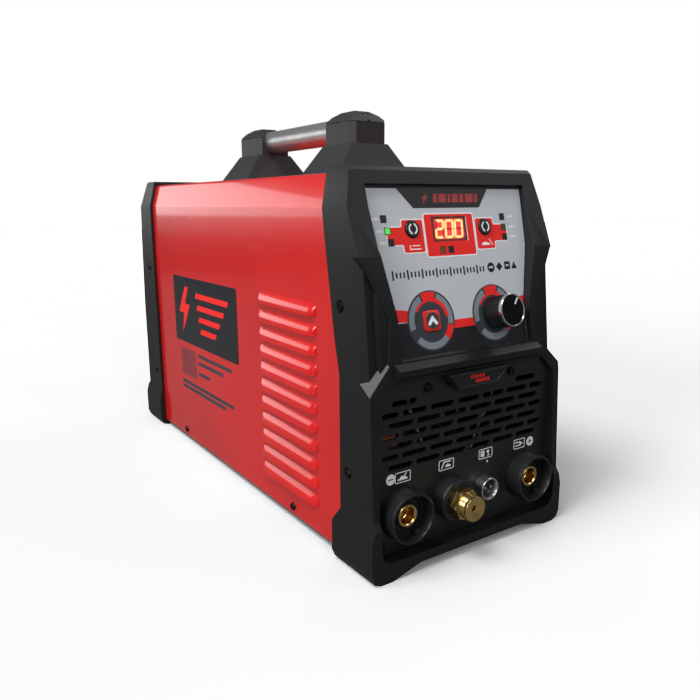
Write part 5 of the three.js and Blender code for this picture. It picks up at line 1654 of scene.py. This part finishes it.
        cover = rectangle(x - 8.6, x + 8.6, z.socket_z - 8, 77.0 if x < 0 else 60.0)
        Form(FRONT).plate(cover, -25.6, -21.5).piece(
            f"{name}_busbar_sleeve", SATIN_BLACK, "sleeve", bevel=0.5)

    def torch(self) -> None:
        """Build the torch connector with its nut, flange and thread."""
        at = self.sizes.torch
        flange = [(8.75, -7.9), (14.4, -7.9), (14.35, 0.9), (14.1, 1.6), (13.6, 2.05), (12.9, 2.2),
                  (11.4, 2.0), (11.0, 1.2), (8.75, 1.2)]
        Form(FRONT).lathe(flange, at, 64).stand_in("torch_flange", SATIN_BLACK, "panel_plastic")
        finish = brass("torch_brass", *at, 0.2)
        nut = Form(FRONT)
        steps, flats = 48, 9.2
        corner = flats / math.cos(math.pi / 6)
        layers = []
        for level, limit in ((1.5, flats - 0.2), (4.1, flats - 0.2), (4.4, corner - 0.5), (4.8, corner),
                             (8.5, corner), (9.5, corner - 1.1)):
            ring = []
            for i in range(steps):
                angle = 2 * math.pi * i / steps
                local = (angle + math.pi / 6) % (math.pi / 3) - math.pi / 6
                reach = min(flats / math.cos(local), limit)
                ring.append((at[0] + reach * math.cos(angle + math.pi / 6),
                             at[1] + reach * math.sin(angle + math.pi / 6)))
            layers.append((ring, level))
        nut.stack(layers).stand_in("torch_nut", finish, "brass", angle=24.0)
        tip, root, crest, pitch = 17.0, 8.15, 8.38, 1.0
        profile: list[Point] = [(0, -21.7), (8.3, -21.7), (8.3, 9.8)]
        level = 10.0
        while level < tip - 2.0:
            profile += [(root, level + 0.15), (crest, level + pitch / 2), (crest, level + pitch / 2 + 0.2)]
            level += pitch
        profile += [(root, level), (8.3, level + 0.3), (8.38, tip - 0.5), (8.1, tip - 0.05), (7.7, tip),
                    (7.35, tip - 0.12), (2.0, tip - 1.5), (1.75, tip - 1.9), (1.75, 0), (0, 0)]
        Form(FRONT).lathe(profile, at, 56).piece(
            "torch_connector", finish, "brass", replaces=["torch_connector"], angle=28.0)

    def trigger(self) -> None:
        """Build the nickel trigger socket with its insert and pins."""
        at = self.sizes.trigger
        shell = [(6.5, -18), (6.5, -0.6), (6.8, -0.1), (7.1, 0.0), (7.6, 0.0), (7.9, -0.3), (7.95, -7.7),
                 (7.0, -7.9), (7.0, -18)]
        Form(FRONT).lathe(shell, at, 56).stand_in("trigger_socket_shell", NICKEL, "nickel")
        insert = Form(FRONT).rod(6.2, -16, -3.6, at, 40, 0.3)
        insert.plate(moved(rectangle(-0.9, 0.9, 4.6, 6.45), *at), -5.0, -1.6)
        insert.piece("trigger_socket_insert", SATIN_BLACK, "panel_plastic",
                     replaces=["trigger_socket_insert"], bevel=0.15, segments=1)
        pins = Form(FRONT)
        for offset in (-2.8, 2.8):
            pins.lathe([(0, -6), (1.0, -6), (1.0, -2.1), (0.65, -1.6), (0, -1.5)],
                       (at[0] + offset, at[1] + 0.7), 16)
        pins.piece("trigger_pins", NICKEL, "nickel")

    def screws(self) -> None:
        """Build the screws of the socket panel."""
        spots = [(u, v, self.sizes.face) for u, v in self.sizes.face_screws]
        screw_set("panel_screws", FRONT, spots, cross_screw(3.2, 1.9),
                  ["panel_screw_upper", "panel_screw_lower"])

    def wires(self) -> None:
        """Build the wires that show through the grille."""
        for name, finish, points in (
                ("wire_yellow", Film("yellow_wire", (0.3, 0.21, 0.03), 0.4),
                 [(14, 20, 44), (18, 24, 58), (30, 27, 78), (40, 27, 92), (38, 30, 112), (30, 44, 128)]),
                ("wire_blue", Film("blue_wire", (0.012, 0.04, 0.16), 0.4),
                 [(9, 20, 44), (8, 26, 62), (6, 28, 80), (12, 30, 96), (10, 36, 118), (4, 48, 130)]),
                ("wire_white", Film("white_wire", (0.42, 0.42, 0.4), 0.4),
                 [(-20, 30, 70), (-30, 27, 88), (-36, 26, 103), (-30, 34, 120), (-24, 50, 132)])):
            path = self._curve([Vector((x, h, -y)) for x, y, h in points])
            Form(FRONT).pipe(path, self.sizes.wire, 10).piece(name, finish, "sleeve")

    @staticmethod
    def _curve(points: Sequence[Vector], steps: int = 8) -> list[Vector]:
        """A smooth path through points."""
        line = [points[0] * 2 - points[1], *points, points[-1] * 2 - points[-2]]
        path = []
        for a, b, c, d in zip(line, line[1:], line[2:], line[3:]):
            for i in range(steps):
                t = i / steps
                path.append(0.5 * (2 * b + (c - a) * t + (2 * a - 5 * b + 4 * c - d) * t * t
                                   + (3 * b - a - 3 * c + d) * t ** 3))
        return path + [points[-1]]


# ---------- Handle ----------
@dataclass(frozen=True)
class HandleSizes:
    """Sizes of the carrying handle, in millimetres."""

    tube: float = 9.5
    wall: float = 1.6
    level: float = 282.2
    front: float = 124.4
    rear: float = 299.9
    edge: float = 1.0


@dataclass(frozen=True)
class Handle:
    """Pale tube held by two clamped posts."""

    sizes: HandleSizes = HandleSizes()

    def build(self) -> None:
        """Build the tube, the posts and their caps."""
        z = self.sizes
        inner = z.tube - z.wall
        profile = [(inner, -z.rear), (z.tube - 0.3, -z.rear), (z.tube, -z.rear + 0.4),
                   (z.tube, -z.front - 0.4), (z.tube - 0.3, -z.front), (inner, -z.front)]
        Form(FRONT).lathe(profile, (0.0, z.level), 64).stand_in("handle_tube", TUBE, "tube_aluminium")
        for end in ("front", "rear"):
            for part, edge in (("post", z.edge), ("cap", z.edge * 0.6)):
                from_cad(f"handle_{end}_{part}", TOP, HANDLE_BLACK, "black_plastic", bevel=edge, segments=3,
                         angle=20.0)


# ---------- Rear ----------
@dataclass(frozen=True)
class RearSizes:
    """Sizes of the rear panel and its fittings, in millimetres."""

    face: float = 399.0
    thick: float = 2.0
    fan_z: float = 118.0
    bore: float = 57.0
    hub: float = 20.0
    fan_front: float = 371.7
    fan_back: float = 396.7
    blades: int = 7
    fitting_x: float = 48.0
    fitting_z: float = 36.0
    stud_z: float = 34.0
    switch_x: float = 45.0
    switch_z: float = 209.0
    gap: float = 0.3
    tilt: float = 10.0

    @property
    def seat(self) -> float:
        """Level at which a fitting sits on the sheet."""
        return self.face + self.gap


@dataclass(frozen=True)
class RearPanel:
    """Rear sheet with fan, guard, switch, cable gland, gas inlet and earth stud."""

    sizes: RearSizes = RearSizes()

    def build(self) -> None:
        """Build every piece of the rear."""
        self.sheet()
        self.fan()
        self.guard()
        self.switch()
        self.gland()
        self.gas_inlet()
        self.stud()

    def sheet(self) -> None:
        """Build the rear sheet with plain bars where a rating plate would be."""
        z = self.sizes
        from_cad("rear_panel", REAR, Enamel("rear_black_enamel", (0.02, 0.021, 0.023), 0.35), "plated_steel",
                 bevel=0.2, segments=1)
        plate = rounded(22, z.switch_z - 2, 36, 18, 1.5)
        Form(REAR).plate(plate, z.face + 0.01, z.face + 0.3).piece(
            "rating_plate", ZINC, "plated_steel", bevel=0.06, segments=1)
        bars = Form(REAR)
        for row in range(6):
            for start, end in ((-32, -12), (-9, 9), (12, 32 - (row % 3) * 5)):
                level = z.switch_z + 10 - row * 5
                bars.plate(rectangle(22 + start, 22 + end, level, level + 1.6), z.face + 0.3, z.face + 0.34)
        bars.piece("rating_bars", DARK_INK, "overlay_film")
        spots = [(a, b, z.face) for a in (-52.5, 52.5) for b in (z.fan_z - 52.5, z.fan_z + 52.5)]
        spots += [(a, b, z.face) for a in (-66, 66) for b in (26, 206)]
        screw_set("rear_sheet_screws", REAR, spots, cross_screw(3.0, 1.8, 1.4, 3.0))

    def fan(self) -> None:
        """Build the fan's frame and its rotor."""
        z = self.sizes
        from_cad("fan_frame", REAR, SATIN_BLACK, "black_plastic", bevel=0.4)
        front, back = z.fan_front + 4.6, z.fan_back - 1.4
        low, high = front + 0.6, back - 0.6
        blade = Form(REAR)
        steps = 5
        points, faces = [], []
        for i in range(steps + 1):
            t = i / steps
            radius = z.hub - 1 + (z.bore - 2.4 - z.hub + 1) * t
            sweep = math.radians(18) * t
            for side in (0, 1):
                level = low + 1 + (high - low - 2) * side
                turn = sweep + (0.5 - side) * (0.78 - 0.3 * t)
                for skin in (-0.7, 0.7):
                    angle = turn + skin / radius
                    points.append((radius * math.cos(angle), radius * math.sin(angle), level))
        for i in range(steps):
            a, b = i * 4, i * 4 + 4
            faces += [(a, a + 1, b + 1, b), (a + 1, a + 3, b + 3, b + 1), (a + 3, a + 2, b + 2, b + 3),
                      (a + 2, a, b, b + 2)]
        end = steps * 4
        faces += [(0, 1, 3, 2), (end, end + 1, end + 3, end + 2)]
        blade.add_faces(points, faces)
        ring = grown(Pattern.RING, None, blade, Count=z.blades, Radius=0.001, Finish=dressed(SATIN_BLACK))
        rotor = Form(REAR).absorb(ring).shift(lambda p: Vector((p.x, p.y + z.fan_z, p.z)))
        rotor.lathe([(0, front), (z.hub, front), (z.hub, back - 1.2), (z.hub - 1.2, back), (0, back)],
                    (0, z.fan_z), 56)
        rotor.stand_in("fan_rotor", SATIN_BLACK, "panel_plastic", body="fan", angle=40.0)
        label = Form(REAR).rod(z.hub - 5, back - 0.02, back + 0.05, (0, z.fan_z), 40)
        label.piece("fan_label", PALE_INK, "overlay_film", "fan")

    def guard(self) -> None:
        """Build the bright wire guard."""
        z = self.sizes
        guard = Form(REAR)
        wire = 0.95
        level = z.seat + 2.2
        for index in range(1, 6):
            radius = z.bore * index / 5 - 0.9
            path = [(u, v, level) for u, v in circle(0, z.fan_z, radius, 72)]
            guard.pipe(path, wire, 10, closed=True)
        guard.stand_in("fan_guard", CHROME, "chrome")
        spokes = Form(REAR)
        for turn in (45, 135, 225, 315):
            a = math.radians(turn)
            path = [(r * math.cos(a), z.fan_z + r * math.sin(a), level - 1.2) for r in (6, 30, 62, 69, 70)]
            spokes.pipe(path, 0.9, 10)
        spokes.piece("guard_spokes", CHROME, "chrome")

    def switch(self) -> None:
        """Build the power switch."""
        z = self.sizes
        from_cad("power_switch_body", REAR, SATIN_BLACK, "black_plastic", bevel=0.35)
        from_cad("power_switch_rocker", REAR, BUTTON_RED, "button_red", body="rocker", bevel=0.5, segments=3)
        tilt = math.radians(z.tilt)
        turn = Matrix.Translation(Vector((-z.switch_x, z.switch_z, z.seat))) @ Matrix.Rotation(-tilt, 4, "X")
        form = Form(REAR @ turn)
        lean = math.atan2(1.8, 10.2)
        for side in (-1, 1):
            at, raise_by = side * 6.2, 1.4 + 6.2 * math.tan(lean)
            mark = circle(0, at, 1.7, 20) if side > 0 else rectangle(-0.35, 0.35, at - 1.8, at + 1.8)
            holes = [circle(0, at, 1.15, 20)] if side > 0 else []
            start = len(form.bm.verts)
            form.plate(mark, 0.0, 0.08, holes)
            form.bm.verts.ensure_lookup_table()
            for vert in list(form.bm.verts)[start:]:
                vert.co.z += raise_by + (vert.co.y - at) * math.tan(lean) * side
        form.piece("rocker_marks", WHITE_INK, "overlay_film", "rocker")

    def gland(self) -> None:
        """Build the mains cable gland."""
        z = self.sizes
        at = (-z.fitting_x, z.fitting_z)
        flange = z.seat
        body = [(5, z.face - 12), (9, z.face - 12), (9, flange + 4), (10.3, flange + 4.2),
                (10.4, flange + 8.6),
                (10.2, flange + 10), (9.4, flange + 13.5), (8.1, flange + 16.6), (7.0, flange + 17),
                (5.6, flange + 16.6), (5, flange + 15.6)]
        Form(REAR).lathe(body, at, 56).piece(
            "cable_gland", SATIN_BLACK, "black_plastic", replaces=["cable_gland"], angle=40.0)
        nut = circle(*at, 12.9, 6)
        Form(REAR).plate(nut, flange, flange + 4.8).piece(
            "gland_nut", SATIN_BLACK, "black_plastic", bevel=0.6, segments=3)
        rib = Form(REAR).plate([(-0.5, -0.5), (0.45, -0.3), (0.45, 0.3), (-0.5, 0.5)], 0, 3.6)
        ring = grown(Pattern.RING, None, rib, Count=24, Radius=9.9, Finish=dressed(SATIN_BLACK))
        Form(REAR).absorb(ring).shift(
            lambda p: Vector((p.x + at[0], p.y + at[1], p.z + flange + 4.9))).piece(
                "gland_ribs", SATIN_BLACK, "black_plastic", angle=60.0)

    def gas_inlet(self) -> None:
        """Build the barbed gas inlet."""
        z = self.sizes
        at = (z.fitting_x, z.fitting_z)
        flange = z.seat
        finish = brass("gas_inlet_brass", -at[0], at[1])
        profile: list[Point] = [(1.9, z.face - 14), (6, z.face - 14), (6, flange + 3.6), (3.2, flange + 3.9),
                                (3.2, flange + 6)]
        for index in range(3):
            start = flange + 6 + index * 3.6
            profile += [(4.6, start + 0.05), (4.55, start + 0.4), (3.2, start + 3.55)]
        profile += [(2.8, flange + 16.8), (1.9, flange + 16.6)]
        Form(REAR).lathe(profile, at, 40).stand_in("gas_inlet", finish, "brass", angle=30.0)
        nut = circle(*at, 8.5, 6)
        Form(REAR).plate(nut, flange, flange + 3.9).piece("gas_inlet_nut", finish, "brass", bevel=0.4)

    def stud(self) -> None:
        """Build the earth stud with its nut and washer."""
        z = self.sizes
        at = (0.0, z.stud_z)
        flange = z.seat
        finish = brass("earth_stud_brass", *at)
        profile: list[Point] = [(0, z.face - 10), (2.6, z.face - 10)]
        level = z.face - 9.6
        while level < flange + 11:
            profile += [(2.55, level), (2.98, level + 0.4), (2.98, level + 0.5)]
            level += 0.9
        profile += [(2.5, flange + 11.6), (2.0, flange + 12), (0, flange + 12)]
        Form(REAR).lathe(profile, at, 28).stand_in("earth_stud", finish, "brass", angle=28.0)
        nut = circle(*at, 5.7, 6)
        Form(REAR).plate(nut, flange + 1.0, flange + 4.9).piece("earth_nut", finish, "brass", bevel=0.3)
        Form(REAR).rod(5.6, flange - 0.2, flange + 0.8, at, 36, 0.2).piece(
            "earth_washer", ZINC, "plated_steel")


# ---------- Inside ----------
@dataclass(frozen=True)
class InsideSizes:
    """Sizes of details inside the case, in millimetres."""

    board: float = 71.9


@dataclass(frozen=True)
class Inside:
    """Power electronics that show through the grille and the fan guard."""

    sizes: InsideSizes = InsideSizes()

    def build(self) -> None:
        """Dress the inner nodes and add the parts that stand on the board."""
        for node, finish in (("rectifier_heat_sink", SINK), ("igbt_heat_sink", SINK), ("main_board", BOARD),
                             ("display_board", BOARD), ("main_transformer", FERRITE), ("potentiometer", ZINC),
                             ("gas_valve", Metal("valve_brass", (0.7, 0.5, 0.2), 0.35, Lay.CAST)),
                             ("output_choke", COIL)):
            dress_node(node, finish)
        for index in (1, 2):
            dress_node(f"capacitor_{index}", SLEEVE)
        self.small_parts()

    def small_parts(self) -> None:
        """Stand small components along the board's front edge."""
        z = self.sizes
        chips = [(x, y, z.board) for x in (-56, -44, 8, 20, 44, 56) for y in (74, 92)]
        chip = Form(TOP).plate(rectangle(-3.5, 3.5, -5, 5), 0.0, 3.2)
        found = grown(Pattern.SPOTS, spots_mesh(chips), chip, Finish=dressed(SATIN_BLACK))
        Form(TOP).absorb(found).piece("board_chips", SATIN_BLACK, "display_black")
        cans = [(x, 110, z.board) for x in (-60, -50, 24, 36, 48, 60)]
        can = Form(TOP).rod(4.0, 0.0, 12.0, steps=16, edge=0.6)
        found = grown(Pattern.SPOTS, spots_mesh(cans), can, Finish=dressed(SLEEVE))
        Form(TOP).absorb(found).piece("board_cans", SLEEVE, "sleeve", angle=40.0)


# ---------- Studio ----------
@dataclass(frozen=True)
class StudioSizes:
    """Camera and light values."""

    camera: tuple[float, float, float] = (-0.301, -0.5028, 0.2284)
    turn: float = 33.92
    pitch: float = 12.24
    roll: float = -0.34
    lens: float = 34.84
    room: float = 0.15


@dataclass(frozen=True)
class Studio:
    """Pale floor, soft lights and the camera."""

    sizes: StudioSizes = StudioSizes()

    def build(self) -> None:
        """Build the floor, the lights and the camera."""
        self.floor()
        self.lights()
        self.camera()

    def floor(self) -> None:
        """Lay the floor and fill the surroundings with pale light."""
        mesh = bpy.data.meshes.new("floor")
        mesh.from_pydata([(-6, -6, 0), (6, -6, 0), (6, 6, 0), (-6, 6, 0)], [], [(0, 1, 2, 3)])
        mesh.materials.append(dressed(Floor()))
        floor = bpy.data.objects.new("floor", mesh)
        floor.is_shadow_catcher = True
        bpy.context.scene.collection.objects.link(floor)
        world = bpy.data.worlds.new("studio")
        world.use_nodes = True
        tree = world.node_tree
        backdrop, room = tree.nodes["Background"], tree.nodes.new("ShaderNodeBackground")
        backdrop.inputs["Color"].default_value = (1.0, 1.0, 1.0, 1.0)
        room.inputs["Color"].default_value = (0.93, 0.96, 1.0, 1.0)
        room.inputs["Strength"].default_value = self.sizes.room
        path, mix = tree.nodes.new("ShaderNodeLightPath"), tree.nodes.new("ShaderNodeMixShader")
        tree.links.new(path.outputs["Is Camera Ray"], mix.inputs[0])
        tree.links.new(room.outputs[0], mix.inputs[1])
        tree.links.new(backdrop.outputs[0], mix.inputs[2])
        tree.links.new(mix.outputs[0], tree.nodes["World Output"].inputs["Surface"])
        bpy.context.scene.world = world
        bpy.context.scene.view_settings.view_transform = "Standard"

    def lights(self) -> None:
        """Hang the soft boxes."""
        target = Vector((0, 0, 0.13))
        for name, spot, width, height, power in (
                ("key", (-1.7, -0.4, 0.85), 0.7, 0.6, 20.0),
                ("top", (-0.65, -0.15, 1.3), 0.8, 0.5, 15.0),
                ("front", (-0.5, -1.9, 1.1), 0.9, 0.6, 11.0),
                ("rear", (-1.0, 1.7, 0.5), 1.2, 0.6, 4.0),
                ("sheen", (1.0, -1.05, 1.0), 0.6, 0.5, 2.2),
                ("lip", (1.0, 0.1, 1.2), 0.5, 0.5, 2.4)):
            data = bpy.data.lights.new(name, "AREA")
            data.shape = "RECTANGLE"
            data.size, data.size_y, data.energy = width, height, power
            light = bpy.data.objects.new(name, data)
            light.location = spot
            light.rotation_euler = (target - Vector(spot)).to_track_quat("-Z", "Y").to_euler()
            bpy.context.scene.collection.objects.link(light)

    def camera(self) -> None:
        """Place the camera."""
        z = self.sizes
        a, e, r = math.radians(z.turn), math.radians(z.pitch), math.radians(z.roll)
        ahead = Vector((math.sin(a) * math.cos(e), math.cos(a) * math.cos(e), -math.sin(e)))
        right = Vector((math.cos(a), -math.sin(a), 0))
        up = right.cross(ahead)
        side = right * math.cos(r) + up * math.sin(r)
        top = up * math.cos(r) - right * math.sin(r)
        data = bpy.data.cameras.new("camera")
        data.lens, data.sensor_width = z.lens, 36.0
        data.clip_start = 0.01
        camera = bpy.data.objects.new("camera", data)
        camera.matrix_world = Matrix.Translation(Vector(z.camera)) @ Matrix(
            (side, top, -ahead)).transposed().to_4x4()
        bpy.context.scene.collection.objects.link(camera)
        bpy.context.scene.camera = camera


def main() -> None:
    """Build the machine and its studio."""
    logging.basicConfig(level=logging.INFO, format="%(name)s: %(message)s")
    parts = (Case(), EndFrames(), ControlPanel(), SocketPanel(), Handle(), RearPanel(), Inside(), Studio())
    for part in parts:
        part.build()


if __name__ == "__main__":
    main()
